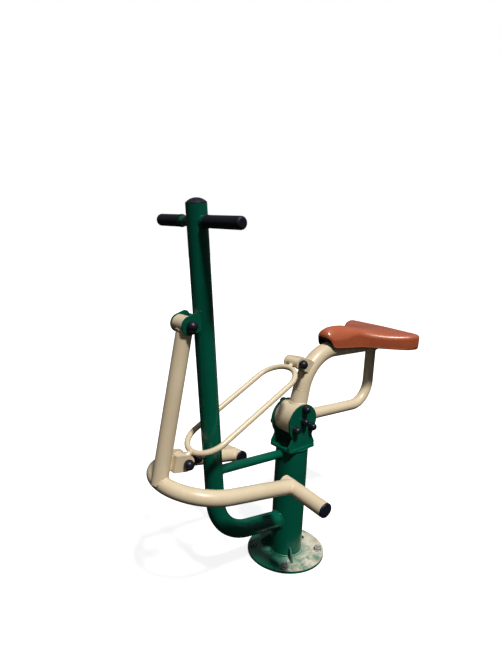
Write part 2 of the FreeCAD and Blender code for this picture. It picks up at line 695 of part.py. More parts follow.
# pegs: cross tubes at the ends of the foot bar's legs
peg_mid = apex + lever_back * leg
pegs, peg_spaces, caps = [], [], []
for s in (1, -1):
    inner = peg_mid + V(0, s * d("peg_inner"), 0)
    outer = peg_mid + V(-d("peg_sweep"), s * d("peg_outer"), -d("peg_droop"))
    axis = outer - inner
    length = axis.Length
    axis.normalize()
    body_o = doc.addObject("Part::Cylinder", new_name("peg"))
    bind(body_o, "Radius", "peg_radius")
    body_o.Height = length
    body_o.Placement = along(inner, axis)
    body_i = doc.addObject("Part::Cylinder", new_name("peg_bore"))
    bind(body_i, "Radius", "peg_radius - peg_wall")
    body_i.Height = length
    body_i.Placement = along(inner, axis)
    space = doc.addObject("Part::Cylinder", new_name("peg_space"))
    bind(space, "Radius", "peg_radius + weld_gap")
    space.Height = length
    space.Placement = along(inner, axis)
    pegs.append(cut(body_o, body_i))
    peg_spaces.append(space)
    pr, ct = d("peg_radius"), d("peg_cap_thick")
    plug = pr - d("peg_wall") - 0.1
    for p, n in ((inner, axis * -1), (outer, axis)):
        caps.append(turned("peg_cap", [(0, -16), (plug, -16), (plug, 0.05), (pr, 0.05), (pr, ct, 3.0), (0, ct)],
                           PLC(p, ROT(V(0, 0, 1), n))))
node(cut(foot_bar_shape("foot_bar_radius", "foot_bar_radius - foot_bar_wall"), *peg_spaces), "foot_bar")
node(pegs[0], "left_foot_peg")
node(pegs[1], "right_foot_peg")
node(group(*caps), "foot_peg_caps")

# link bracket on the back of the lever
reach_c = (C - lever_top).dot(lever_back) - d("lever_radius") - d("weld_gap")
bracket_frame = ROT(V(0, 1, 0), d("lever_lean") + 180.0)
node(u_bracket(C, bracket_frame, reach_c, d("front_ear_radius"), "front_ear_thick", "front_ear_outer",
               "front_web_thick", "front_pin_radius + weld_gap"), "link_bracket")
node(shoulder_pin(C.x, C.z, "front_pin_radius", "front_ear_outer"), "front_link_pin")
node(group(*pin_nuts(C.x, C.z, "front_ear_outer")), "front_link_pin_nuts")
node(group(ball_cap(C.x, C.z, d("front_ear_outer"), 1), ball_cap(C.x, C.z, d("front_ear_outer"), -1)),
     "front_link_pin_caps")

# --------------------------------------------------------------------------
# pull link: closed rod loop round the post, a bush at each end
# --------------------------------------------------------------------------
w = d("link_half_width")
x0 = d("front_apex") + w
x1 = link_len - d("rear_apex") - w
link_place = PLC(C, link_frame)
loop = []
for s in (1, -1):
    rod = doc.addObject("Part::Cylinder", new_name("rod"))
    bind(rod, "Radius", "link_rod_radius")
    rod.Height = x1 - x0
    rod.Placement = link_place.multiply(PLC(V(x0, s * w, 0), ROT(V(0, 1, 0), 90)))
    loop.append(rod)
for x, turn in ((x0, 90.0), (x1, -90.0)):
    end = doc.addObject("Part::Torus", new_name("loop_end"))
    bind(end, "Radius1", "link_half_width")
    bind(end, "Radius2", "link_rod_radius")
    end.Angle3 = 180.0
    end.Placement = link_place.multiply(PLC(V(x, 0, 0), ROT(V(0, 0, 1), turn)))
    loop.append(end)
front_space = cyl_y("front_bush_radius + weld_gap", "front_bush_half", C.x, C.z)
rear_space = cyl_y("rear_bush_radius + weld_gap", "rear_bush_half", D.x, D.z)
loop_rod = fuse(*loop)
node(loop_rod, "link_loop")
rear_stub = doc.addObject("Part::Cylinder", new_name("rear_stub"))
bind(rear_stub, "Radius", "rear_stub_radius")
bind(rear_stub, "Height", "rear_apex")
rear_stub.Placement = along(D, link_dir * -1)
rear_apex_space = doc.addObject("Part::Torus", new_name("apex_space"))
bind(rear_apex_space, "Radius1", "link_half_width")
bind(rear_apex_space, "Radius2", "link_rod_radius + weld_gap")
rear_apex_space.Placement = link_place.multiply(PLC(V(x1, 0, 0), ROT()))
node(cut(rear_stub, rear_space, rear_apex_space), "link_rear_stub")
stub = doc.addObject("Part::Cylinder", new_name("stub"))
bind(stub, "Radius", "front_stub_radius")
bind(stub, "Height", "front_apex")
stub.Placement = along(C, link_dir)
apex_space = doc.addObject("Part::Torus", new_name("apex_space"))
bind(apex_space, "Radius1", "link_half_width")
bind(apex_space, "Radius2", "link_rod_radius + weld_gap")
apex_space.Placement = link_place.multiply(PLC(V(x0, 0, 0), ROT()))
node(cut(stub, front_space, apex_space), "link_front_stub")
node(tube_y("front_bush_radius", "front_bush_bore", "front_bush_half", C.x, C.z), "link_front_bush")
node(tube_y("rear_bush_radius", "rear_bush_bore", "rear_bush_half", D.x, D.z), "link_rear_bush")
g = []
for s in (1, -1):
    base = (D.x, d("rear_bush_half") * s, D.z)
    g.append(cut(cyl("rear_bush_bore - weld_gap", "rear_bearing_length", base, (0, -s, 0)),
                 cyl("rear_pin_radius + running_gap", "rear_bearing_length", base, (0, -s, 0))))
node(group(*g), "link_rear_bearings")

# --------------------------------------------------------------------------
# seat swing: hub
# --------------------------------------------------------------------------
node(tube_y("hub_shell_radius", "hub_shell_radius - hub_shell_wall", "hub_shell_half", B.x, B.z), "hub_shell")


def limit_web(y_high):
    """Disc with a central hole and three curved slots that ride on the limit bolts."""
    body = new_body("web")
    sk = new_sketch(body, "XZ_Plane", PLC(V(0, 0, -y_high), ROT()))
    circle(sk, B.x, B.z, "hub_shell_radius - hub_shell_wall - weld_gap")
    circle(sk, B.x, B.z, "hub_boss_radius + weld_gap")
    rc, h = d("limit_circle"), d("limit_slot_half")
    for a in limit_angles:
        hi = math.radians(a + d("limit_spare"))
        lo = math.radians(a - d("limit_travel") - d("limit_spare"))

        def pt(ang, r=rc):
            return V(B.x + r * math.cos(ang), B.z + r * math.sin(ang), 0)
        o = sk.addGeometry(Part.ArcOfCircle(Part.Circle(V(B.x, B.z, 0), V(0, 0, 1), rc + h), lo, hi), False)
        i = sk.addGeometry(Part.ArcOfCircle(Part.Circle(V(B.x, B.z, 0), V(0, 0, 1), rc - h), lo, hi), False)
        e1 = sk.addGeometry(Part.ArcOfCircle(Part.Circle(pt(hi), V(0, 0, 1), h), hi, hi + math.pi), False)
        e0 = sk.addGeometry(Part.ArcOfCircle(Part.Circle(pt(lo), V(0, 0, 1), h), lo - math.pi, lo), False)
        for p, q in (((o, 2), (e1, 1)), ((e1, 2), (i, 2)), ((i, 1), (e0, 1)), ((e0, 2), (o, 1))):
            sk.addConstraint(Sketcher.Constraint("Coincident", p[0], p[1], q[0], q[1]))
    pad = body.newObject("PartDesign::Pad", new_name("pad"))
    pad.Profile = sk
    bind(pad, "Length", "hub_web_thick")
    return body


wi, wt = d("hub_web_inner"), d("hub_web_thick")
node(group(limit_web(wi + wt), limit_web(-wi)), "hub_limit_webs")
node(tube_y("hub_boss_radius", "hub_boss_bore", "hub_boss_half", B.x, B.z), "hub_boss")
g = []
for s in (1, -1):
    base = (B.x, d("hub_boss_half") * s, B.z)
    g.append(cut(cyl("hub_boss_bore - weld_gap", "hub_bearing_length", base, (0, -s, 0)),
                 cyl("hub_axle_radius + running_gap", "hub_bearing_length", base, (0, -s, 0))))
node(group(*g), "hub_bearings")

# --------------------------------------------------------------------------
# seat swing: arm, strut, ears
# --------------------------------------------------------------------------
P0 = V(d("arm_root_x"), 0, d("arm_root_z"))
P1 = V(d("arm_corner_x"), 0, d("arm_corner_z"))
P2 = V(d("arm_end_x"), 0, d("arm_end_z"))
arm_up = (P1 - P0).normalize()
arm_run = (P2 - P1).normalize()
arm_start = P0 + arm_up * d("arm_root_length")
hub_space = cyl_y("hub_shell_radius + weld_gap", "hub_shell_half + 20", B.x, B.z)
root_o = doc.addObject("Part::Cone", new_name("root"))
bind(root_o, "Radius1", "arm_root_radius")
bind(root_o, "Radius2", "arm_radius")
bind(root_o, "Height", "arm_root_length")
root_o.Placement = along(P0, arm_up)
root_i = doc.addObject("Part::Cone", new_name("root_bore"))
bind(root_i, "Radius1", "arm_root_radius - arm_wall")
bind(root_i, "Radius2", "arm_radius - arm_wall")
bind(root_i, "Height", "arm_root_length")
root_i.Placement = along(P0, arm_up)
node(cut(root_o, root_i, hub_space), "seat_arm_root")
node(bent_tube("arm", [(arm_start.x, arm_start.z), (P1.x, P1.z), (P2.x, P2.z)], [d("arm_bend")],
               "arm_radius", "arm_radius - arm_wall", bend_alias="arm_bend"), "seat_arm_tube")
ra, rw = d("arm_radius"), d("arm_wall")
node(turned("plug", [(0, -14), (ra - rw - 0.1, -14), (ra - rw - 0.1, 0.05), (ra, 0.05),
                     (ra, d("arm_plug_thick"), 2.5), (0, d("arm_plug_thick"))],
            PLC(P2, ROT(V(0, 0, 1), arm_run))), "seat_arm_plug")

sx, sz = d("strut_corner_x"), d("strut_corner_z")
strut = bent_tube("strut", [(d("strut_start_x"), d("strut_start_z")), (sx, sz), (sx, d("arm_end_z"))],
                  [d("strut_bend")], "strut_radius", "strut_radius - strut_wall", bend_alias="strut_bend")
arm_space = doc.addObject("Part::Cylinder", new_name("arm_space"))
bind(arm_space, "Radius", "arm_radius + weld_gap")
arm_space.Height = 300.0
arm_space.Placement = along(P1 + arm_run * 130.0, arm_run)
hub_space2 = cyl_y("hub_shell_radius + weld_gap", "hub_shell_half + 20", B.x, B.z)
node(cut(strut, hub_space2, arm_space), "seat_strut")

# fork at the rear pin: two small lugs, round at the pin, on a pad shaped to the arm
er = d("rear_ear_radius")


def tangent_corner(px, pz, side):
    """Point on the ear's round end where a line from (px, pz) touches it."""
    vx, vz = px - D.x, pz - D.z
    dist = math.hypot(vx, vz)
    base = math.atan2(vz, vx)
    beta = math.acos(er / dist)
    a = base + side * beta
    return (D.x + er * math.cos(a), D.z + er * math.sin(a), a)


low = (4.0, 694.0)
low2 = (14.0, 692.0)
high = (37.0, 729.0)
pad_plan = [(30.2, 733.2, 3.0), (7.2, 696.2, 3.0), (39.5, 676.2), (62.5, 713.2)]
t_low = tangent_corner(low[0], low[1], -1)
t_high = tangent_corner(high[0], high[1], 1)


def ear_plate(y_high):
    body = new_body("ear")
    sk = new_sketch(body, "XZ_Plane", PLC(V(0, 0, -y_high), ROT()))
    a0, a1 = t_high[2], t_low[2]
    while a1 < a0:
        a1 += 2 * math.pi
    g0 = sk.addGeometry(Part.ArcOfCircle(Part.Circle(V(D.x, D.z, 0), V(0, 0, 1), er), a0, a1), False)
    k = sk.addConstraint(Sketcher.Constraint("Radius", g0, er))
    bind(sk, "Constraints[%d]" % k, "rear_ear_radius")
    pts = [t_low[:2], low, low2, high, t_high[:2]]
    ids = [sk.addGeometry(Part.LineSegment(V(p[0], p[1], 0), V(q[0], q[1], 0)), False)
           for p, q in zip(pts[:-1], pts[1:])]
    chain = [g0] + ids
    for a, b in zip(chain, chain[1:] + chain[:1]):
        sk.addConstraint(Sketcher.Constraint("Coincident", a, 2, b, 1))
    circle(sk, D.x, D.z, "rear_pin_radius + weld_gap")
    pad = body.newObject("PartDesign::Pad", new_name("pad"))
    pad.Profile = sk
    bind(pad, "Length", "rear_ear_thick")
    return body


ei, et = d("rear_ear_inner"), d("rear_ear_thick")


def arm_room():
    """Space the arm takes up, with the weld gap around it; the pad is shaped to it."""
    return bent_tube("arm_room", [(arm_start.x, arm_start.z), (P1.x, P1.z), (P2.x, P2.z)], [d("arm_bend")],
                     "arm_radius + weld_gap", "arm_wall", bend_alias="arm_bend")


ear_pad = plate_xz("ear_pad", pad_plan, ei - 0.02, "2 * rear_ear_inner - 0.04")
node(group(ear_plate(ei + et), ear_plate(-ei), cut(ear_pad, arm_room())), "seat_arm_ears")
# pin with a low round head on one side, a nut under a ball-shaped cover on the other
head_y = ei + et + d("weld_gap")
node(fuse(cyl_y("rear_pin_radius", "rear_ear_inner + rear_ear_thick + 0.5", D.x, D.z),
          cyl("thread_radius", "rear_ear_inner + rear_ear_thick + thread_length", (D.x, 0, D.z), (0, -1, 0)),
          cyl("rear_head_radius", "rear_head_thick", (D.x, head_y, D.z), (0, 1, 0))), "rear_link_pin")
node(nut("nut_flat", "nut_thick", "thread_radius + weld_gap", (D.x, -ei - et - 0.53, D.z), (0, -1, 0)),
     "rear_link_pin_nut")
node(ball_cap(D.x, D.z, ei + et, -1), "rear_link_pin_cap")

# --------------------------------------------------------------------------
# saddle on its plate; local frame runs along the straight end of the arm
# --------------------------------------------------------------------------
turn = math.acos(max(-1.0, min(1.0, arm_up.dot(arm_run))))
bend_end = P1 + arm_run * (d("arm_bend") * math.tan(turn / 2))
seat_place = PLC(bend_end, ROT(V(0, 1, 0), math.degrees(math.atan2(-arm_run.z, arm_run.x))))

plate_z = d("arm_radius") + d("weld_gap")
plate_top = plate_z + d("seat_plate_thick")
px0, pl, ph = d("seat_plate_from"), d("seat_plate_length"), d("seat_plate_half")
bolt_xy = [(x, s * d("seat_bolt_y")) for x in (d("seat_bolt_x_near"), d("seat_bolt_x_far")) for s in (1, -1)]
node(plate_xy("seat_plate", [(px0, -ph, 8), (px0 + pl, -ph, 8), (px0 + pl, ph, 8), (px0, ph, 8)], plate_z,
              "seat_plate_thick", [(x, y, "seat_bolt_radius + weld_gap") for x, y in bolt_xy],
              place=seat_place), "seat_plate")

g = []
for x, y in bolt_xy:
    head = doc.addObject("Part::Prism", new_name("bolt_head"))
    head.Polygon = 6
    bind(head, "Circumradius", "13 * 0.57735")
    head.Height = 5.5
    head.Placement = seat_place.multiply(PLC(V(x, y, plate_z - 5.5), ROT()))
    shank = doc.addObject("Part::Cylinder", new_name("bolt_shank"))
    bind(shank, "Radius", "seat_bolt_radius")
    shank.Height = 5.5 + d("seat_plate_thick") + 12.0
    shank.Placement = seat_place.multiply(PLC(V(x, y, plate_z - 5.5), ROT()))
    g.append(fuse(head, shank))
node(group(*g), "seat_bolts")

# plan of the saddle: rounded nose, drawn-in waist, broad rear
half_plan = [(-64.0, 22.0, 18.0), (-33.0, 40.0, 40.0), (102.0, 46.0, 70.0), (257.0, 160.0, 60.0),
             (308.5, 168.5, 18.0)]
plan = [(x, -y, r) for x, y, r in half_plan] + [(x, y, r) for x, y, r in reversed(half_plan)]
saddle = new_body("saddle")
sk = new_sketch(saddle, "XY_Plane", PLC(V(0, 0, d("seat_bottom")), ROT()))
draw(sk, rounded(plan))
pad = saddle.newObject("PartDesign::Pad", new_name("pad"))
pad.Profile = sk
bind(pad, "Length", "seat_top - seat_bottom")
doc.recompute()
top_edges = []
for i, e in enumerate(pad.Shape.Edges, start=1):
    if all(abs(v.Point.z - d("seat_top")) < 1e-6 for v in e.Vertexes):
        top_edges.append("Edge%d" % i)
rounding = saddle.newObject("PartDesign::Fillet", new_name("edge"))
rounding.Base = (pad, top_edges)
bind(rounding, "Radius", "seat_edge")
saddle.Placement = seat_place


def crown(stem):
    """Upward swell of the sitting surface, half an ellipsoid deep."""
    o = doc.addObject("Part::Ellipsoid", new_name("crown"))
    bind(o, "Radius1", stem + "_rise")
    bind(o, "Radius2", stem + "_length")
    bind(o, "Radius3", stem + "_half")
    o.Angle1, o.Angle2, o.Angle3 = 0.0, 90.0, 360.0
    o.Placement = seat_place.multiply(PLC(V(d(stem + "_x"), 0, d("crown_base")), ROT()))
    return o


swelled = fuse(saddle, crown("nose_crown"), crown("rear_crown"))


def seat_box(xa, xb, half_alias, height=plate_top + 0.03):
    o = doc.addObject("Part::Box", new_name("hollow"))
    o.Length = xb - xa
    bind(o, "Width", "2 * %s" % half_alias)
    o.Height = height + 10.0
    o.Placement = seat_place.multiply(PLC(V(xa, -d(half_alias), -10.0), ROT()))
    return o


hollow = [seat_box(-80.0, -18.0, "seat_channel_half", 29.8), seat_box(-19.0, px0 - 4.0, "seat_channel_half"),
          seat_box(px0 - 5.0, px0 + pl + 5.0, "seat_recess_half"),
          seat_box(px0 + pl + 4.0, d("arm_end_x") - bend_end.x + 12.0, "seat_channel_half")]
holes = []
for x, y in bolt_xy:
    o = doc.addObject("Part::Cylinder", new_name("insert"))
    bind(o, "Radius", "seat_bolt_radius + weld_gap")
    o.Height = 12.5
    o.Placement = seat_place.multiply(PLC(V(x, y, plate_top), ROT()))
    holes.append(o)
node(cut(swelled, *(hollow + holes)), "saddle")

# --------------------------------------------------------------------------
# recompute, check and write
# --------------------------------------------------------------------------
doc.recompute()
bad = []
for o in doc.Objects:
    state = list(o.State)
    if "Invalid" in state or "Error" in state:
        bad.append("%s (%s): %s" % (o.Name, o.Label, state))
for label, o in nodes:
    s = o.Shape
    if s.isNull() or not s.isValid() or not s.Solids:
        bad.append("%s: null, invalid or empty shape" % label)
if bad:
    raise RuntimeError("\n".join(bad))
labels = [label for label, _ in nodes]
if len(set(labels)) != len(labels):
    raise RuntimeError("a label is used twice")

os.makedirs("parts", exist_ok=True)
for label, o in nodes:
    o.Shape.exportStep(os.path.join("parts", label + ".step"))
    box = o.Shape.BoundBox
    print("%-22s solids %2d volume %10.0f  x %7.1f %7.1f  y %7.1f %7.1f  z %7.1f %7.1f" % (
        label, len(o.Shape.Solids), o.Shape.Volume, box.XMin, box.XMax, box.YMin, box.YMax, box.ZMin, box.ZMax))
print("nodes", len(nodes))
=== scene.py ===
"""Looks of the outdoor leg press: finishes, moulded saddle, weld beads, ground anchors, studio."""
import json
import math

import bmesh
import bpy
import numpy as np
from mathutils import Matrix, Vector, noise


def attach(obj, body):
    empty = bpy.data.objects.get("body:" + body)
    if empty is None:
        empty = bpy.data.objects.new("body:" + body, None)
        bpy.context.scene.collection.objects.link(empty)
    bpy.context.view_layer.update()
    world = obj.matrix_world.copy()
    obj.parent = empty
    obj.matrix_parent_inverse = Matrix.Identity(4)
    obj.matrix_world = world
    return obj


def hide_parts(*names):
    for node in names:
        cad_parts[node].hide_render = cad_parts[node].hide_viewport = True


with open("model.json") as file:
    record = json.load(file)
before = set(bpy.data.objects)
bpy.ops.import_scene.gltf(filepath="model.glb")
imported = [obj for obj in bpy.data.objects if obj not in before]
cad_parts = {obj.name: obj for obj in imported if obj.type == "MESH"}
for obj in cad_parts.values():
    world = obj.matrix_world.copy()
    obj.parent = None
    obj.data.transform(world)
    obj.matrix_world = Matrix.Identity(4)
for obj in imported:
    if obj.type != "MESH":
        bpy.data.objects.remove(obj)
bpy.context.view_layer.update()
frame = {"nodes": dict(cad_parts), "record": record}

NODES = frame["nodes"]
MM = 0.001

# ---------------------------------------------------------------------------
# machine dimensions used again here, millimetres in the machine's own frame
# ---------------------------------------------------------------------------
LEAN = math.radians(6.23)
TILT = math.radians(9.71)


def post_x(z):
    return -367.65 - math.tan(LEAN) * (z - 600.0)


A = np.array([-466.0, 0.0, 893.0])
B = np.array([0.0, 0.0, 518.0])
C = np.array([-466.0, 0.0, 484.0])
D = np.array([-15.0, 0.0, 721.0])
LEVER_DOWN = np.array([-math.sin(TILT), 0.0, -math.cos(TILT)])
LEVER_BACK = np.array([math.cos(TILT), 0.0, -math.sin(TILT)])
LEVER_TOP = np.array([-462.3, 0.0, 893.0])
LEVER_END = LEVER_TOP + LEVER_DOWN * 468.7
APEX = LEVER_END + LEVER_BACK * 8.0
LINK = (D - C) / np.linalg.norm(D - C)
Y = np.array([0.0, 1.0, 0.0])


def unit(v):
    v = np.asarray(v, float)
    return v / np.linalg.norm(v)


def route(points, bends, step=3.0):
    """Straight runs with round corners, as closely spaced points."""
    pts = [np.asarray(p, float) for p in points]
    out = [pts[0]]
    for i in range(1, len(pts) - 1):
        p, r = pts[i], bends[i - 1]
        u, w = unit(pts[i - 1] - p), unit(pts[i + 1] - p)
        ang = math.acos(float(np.clip(u @ w, -1, 1)))
        cut = r / math.tan(ang / 2)
        centre = p + unit(u + w) * (r / math.sin(ang / 2))
        a, b = p + u * cut - centre, p + w * cut - centre
        turn = math.pi - ang
        n = max(2, int(r * turn / step))
        for k in range(n + 1):
            f = k / n
            out.append(centre + (math.sin((1 - f) * turn) * a + math.sin(f * turn) * b) / math.sin(turn))
    out.append(pts[-1])
    dense = [out[0]]
    for p, q in zip(out[:-1], out[1:]):
        n = max(1, int(np.linalg.norm(q - p) / (4 * step)))
        dense += [p + (q - p) * (k + 1) / n for k in range(n)]
    return np.array(dense)


POST = route([(post_x(1224), 0, 1224), (post_x(180), 0, 180), (-30, 0, 140)], [165])
BRACE = np.array([(post_x(413), 0, 413), (0, 0, 393)], float)
COLUMN = np.array([(0, 0, 0), (0, 0, 416)], float)
LEG = 399.0
HALF = 145.0
FOOT = route([APEX + LEVER_BACK * LEG - Y * HALF, APEX - Y * HALF, APEX + Y * HALF, APEX + LEVER_BACK * LEG + Y * HALF],
             [HALF - 2, HALF - 2])
PEG_MID = APEX + LEVER_BACK * LEG
HUB = np.array([B - Y * 200, B + Y * 200])
ARM_ROOT, ARM_CORNER, ARM_END = np.array([5.0, 0, 515]), np.array([57.0, 0, 748.5]), np.array([430.0, 0, 741])
ARM_UP, ARM_RUN = unit(ARM_CORNER - ARM_ROOT), unit(ARM_END - ARM_CORNER)
ARM = route([ARM_ROOT + ARM_UP * 60, ARM_CORNER, ARM_END], [154])
STRUT = route([(40, 0, 515.5), (410.5, 0, 499), (410.5, 0, 741)], [88])
BEND_END = ARM_CORNER + ARM_RUN * (154 * math.tan(math.acos(float(ARM_UP @ ARM_RUN)) / 2))
LOOP_C0 = C + LINK * (40.0 + 73.0)
LOOP_C1 = C + LINK * (np.linalg.norm(D - C) - 32.0 - 73.0)
loop = [LOOP_C0 - LINK * 73 * math.cos(a) + Y * 73 * math.sin(a) for a in np.linspace(-math.pi / 2, math.pi / 2, 60)]
loop += [LOOP_C1 + LINK * 73 * math.cos(a) + Y * 73 * math.sin(a) for a in np.linspace(math.pi / 2, -math.pi / 2, 60)]
LOOP = np.array(loop + loop[:1])


# ---------------------------------------------------------------------------
# node materials
# ---------------------------------------------------------------------------
class Graph:
    def __init__(self, name):
        self.mat = bpy.data.materials.new(name)
        self.mat.use_nodes = True
        self.tree = self.mat.node_tree
        self.tree.nodes.clear()
        out = self.tree.nodes.new("ShaderNodeOutputMaterial")
        self.bsdf = self.tree.nodes.new("ShaderNodeBsdfPrincipled")
        self.tree.links.new(self.bsdf.outputs["BSDF"], out.inputs["Surface"])
        self.coord = self.tree.nodes.new("ShaderNodeTexCoord").outputs["Object"]

    def put(self, socket, value):
        if isinstance(value, bpy.types.NodeSocket):
            self.tree.links.new(value, socket)
        else:
            socket.default_value = value

    def add(self, kind, **props):
        n = self.tree.nodes.new(kind)
        for k, v in props.items():
            setattr(n, k, v)
        return n

    def noise(self, scale, detail=3.0, rough=0.55, vector=None, distortion=0.0):
        n = self.add("ShaderNodeTexNoise")
        self.put(n.inputs["Vector"], vector or self.coord)
        n.inputs["Scale"].default_value = scale
        n.inputs["Detail"].default_value = detail
        n.inputs["Roughness"].default_value = rough
        n.inputs["Distortion"].default_value = distortion
        return n.outputs["Fac"]

    def voronoi(self, scale, feature="F1", vector=None):
        n = self.add("ShaderNodeTexVoronoi", feature=feature)
        self.put(n.inputs["Vector"], vector or self.coord)
        n.inputs["Scale"].default_value = scale
        return n.outputs["Distance"]

    def stretch(self, x, y, z):
        n = self.add("ShaderNodeMapping")
        self.put(n.inputs["Vector"], self.coord)
        n.inputs["Scale"].default_value = (x, y, z)
        return n.outputs["Vector"]

    def math(self, op, a, b=0.0, clamp=False):
        n = self.add("ShaderNodeMath", operation=op, use_clamp=clamp)
        self.put(n.inputs[0], a)
        self.put(n.inputs[1], b)
        return n.outputs[0]

    def step(self, value, lo, hi, to_lo=0.0, to_hi=1.0):
        n = self.add("ShaderNodeMapRange", interpolation_type="SMOOTHSTEP")
        self.put(n.inputs[0], value)
        for i, v in enumerate((lo, hi, to_lo, to_hi), start=1):
            n.inputs[i].default_value = v
        return n.outputs[0]

    def mix(self, fac, a, b):
        n = self.add("ShaderNodeMix", data_type="RGBA")
        self.put(n.inputs[0], fac)
        self.put(n.inputs[6], a if isinstance(a, bpy.types.NodeSocket) else (*a, 1.0))
        self.put(n.inputs[7], b if isinstance(b, bpy.types.NodeSocket) else (*b, 1.0))
        return n.outputs[2]

    def axis(self, which):
        n = self.add("ShaderNodeSeparateXYZ")
        self.put(n.inputs[0], self.coord)
        return n.outputs[which]

    def facing_up(self):
        g = self.add("ShaderNodeNewGeometry")
        n = self.add("ShaderNodeSeparateXYZ")
        self.put(n.inputs[0], g.outputs["Normal"])
        return n.outputs["Z"]

    def bump(self, height, strength, distance, normal=None):
        n = self.add("ShaderNodeBump")
        n.inputs["Strength"].default_value = strength
        n.inputs["Distance"].default_value = distance
        self.put(n.inputs["Height"], height)
        if normal is not None:
            self.put(n.inputs["Normal"], normal)
        return n.outputs["Normal"]

    def finish(self, color, rough, normal=None, metallic=0.0, specular=0.5, coat=0.0, coat_rough=0.1, sheen=0.0):
        b = self.bsdf.inputs
        self.put(b["Base Color"], color if isinstance(color, bpy.types.NodeSocket) else (*color, 1.0))
        self.put(b["Roughness"], rough)
        b["Metallic"].default_value = metallic
        b["Specular IOR Level"].default_value = specular
        b["Coat Weight"].default_value = coat
        b["Coat Roughness"].default_value = coat_rough
        b["Sheen Weight"].default_value = sheen
        if normal is not None:
            self.put(b["Normal"], normal)
        return self.mat


def enamel(name, base, deep, pale, dust, rough, coat, dust_amount, chip, specular):
    """Sprayed enamel: slight mottling, orange peel, settled dust on top, small chips and rubs."""
    g = Graph(name)
    broad = g.noise(5.0, 3.0)
    fine = g.noise(60.0, 4.0, 0.6)
    color = g.mix(g.step(broad, 0.3, 0.72), deep, base)
    color = g.mix(g.math("MULTIPLY", g.step(fine, 0.52, 0.75), 0.25), color, pale)
    runs = g.noise(26.0, 3.0, 0.6, g.stretch(1.0, 1.0, 0.14))
    color = g.mix(g.math("MULTIPLY", g.step(runs, 0.56, 0.72), 0.22), color, deep)
    up = g.step(g.facing_up(), 0.35, 0.95)
    settled = g.math("MULTIPLY", up, g.step(g.noise(34.0, 5.0, 0.7), 0.38, 0.75))
    settled = g.math("MULTIPLY", settled, dust_amount)
    color = g.mix(settled, color, dust)
    chips = g.step(g.noise(150.0, 2.0, 0.5), 0.745, 0.765)
    chips = g.math("MULTIPLY", chips, g.step(g.noise(9.0, 2.0), 0.52, 0.62))
    color = g.mix(g.math("MULTIPLY", chips, 0.6), color, chip)
    r = g.math("ADD", rough, g.math("MULTIPLY", g.math("ADD", g.math("MULTIPLY", fine, 0.5), settled), 0.22))
    r = g.math("ADD", r, g.math("MULTIPLY", chips, 0.25), True)
    peel = g.bump(g.noise(420.0, 2.0, 0.5), 0.10, 0.0006)
    wavy = g.bump(g.noise(45.0, 2.0, 0.5), 0.10, 0.0012, peel)
    pitted = g.bump(g.math("MULTIPLY", chips, -1.0), 0.4, 0.0005, wavy)
    return g.finish(color, r, pitted, specular=specular, coat=coat, coat_rough=0.08)


GREEN_BASE, GREEN_DEEP, GREEN_PALE = (0.0003, 0.092, 0.055), (0.0002, 0.070, 0.041), (0.0008, 0.116, 0.072)
BEIGE_BASE, BEIGE_DEEP, BEIGE_PALE = (0.65, 0.55, 0.39), (0.58, 0.48, 0.33), (0.70, 0.61, 0.455)

green = enamel("green_enamel_paint", GREEN_BASE, GREEN_DEEP, GREEN_PALE, (0.02, 0.13, 0.09), 0.16, 0.15, 0.08,
               (0.10, 0.13, 0.115), 0.26)
dull_green = enamel("green_enamel_dull", GREEN_BASE, GREEN_DEEP, GREEN_PALE, (0.10, 0.20, 0.15), 0.55, 0.0, 0.40,
                    (0.10, 0.13, 0.115), 0.20)
beige = enamel("beige_enamel_paint", BEIGE_BASE, BEIGE_DEEP, BEIGE_PALE, (0.62, 0.56, 0.46), 0.30, 0.16, 0.25,
               (0.26, 0.20, 0.14), 0.42)


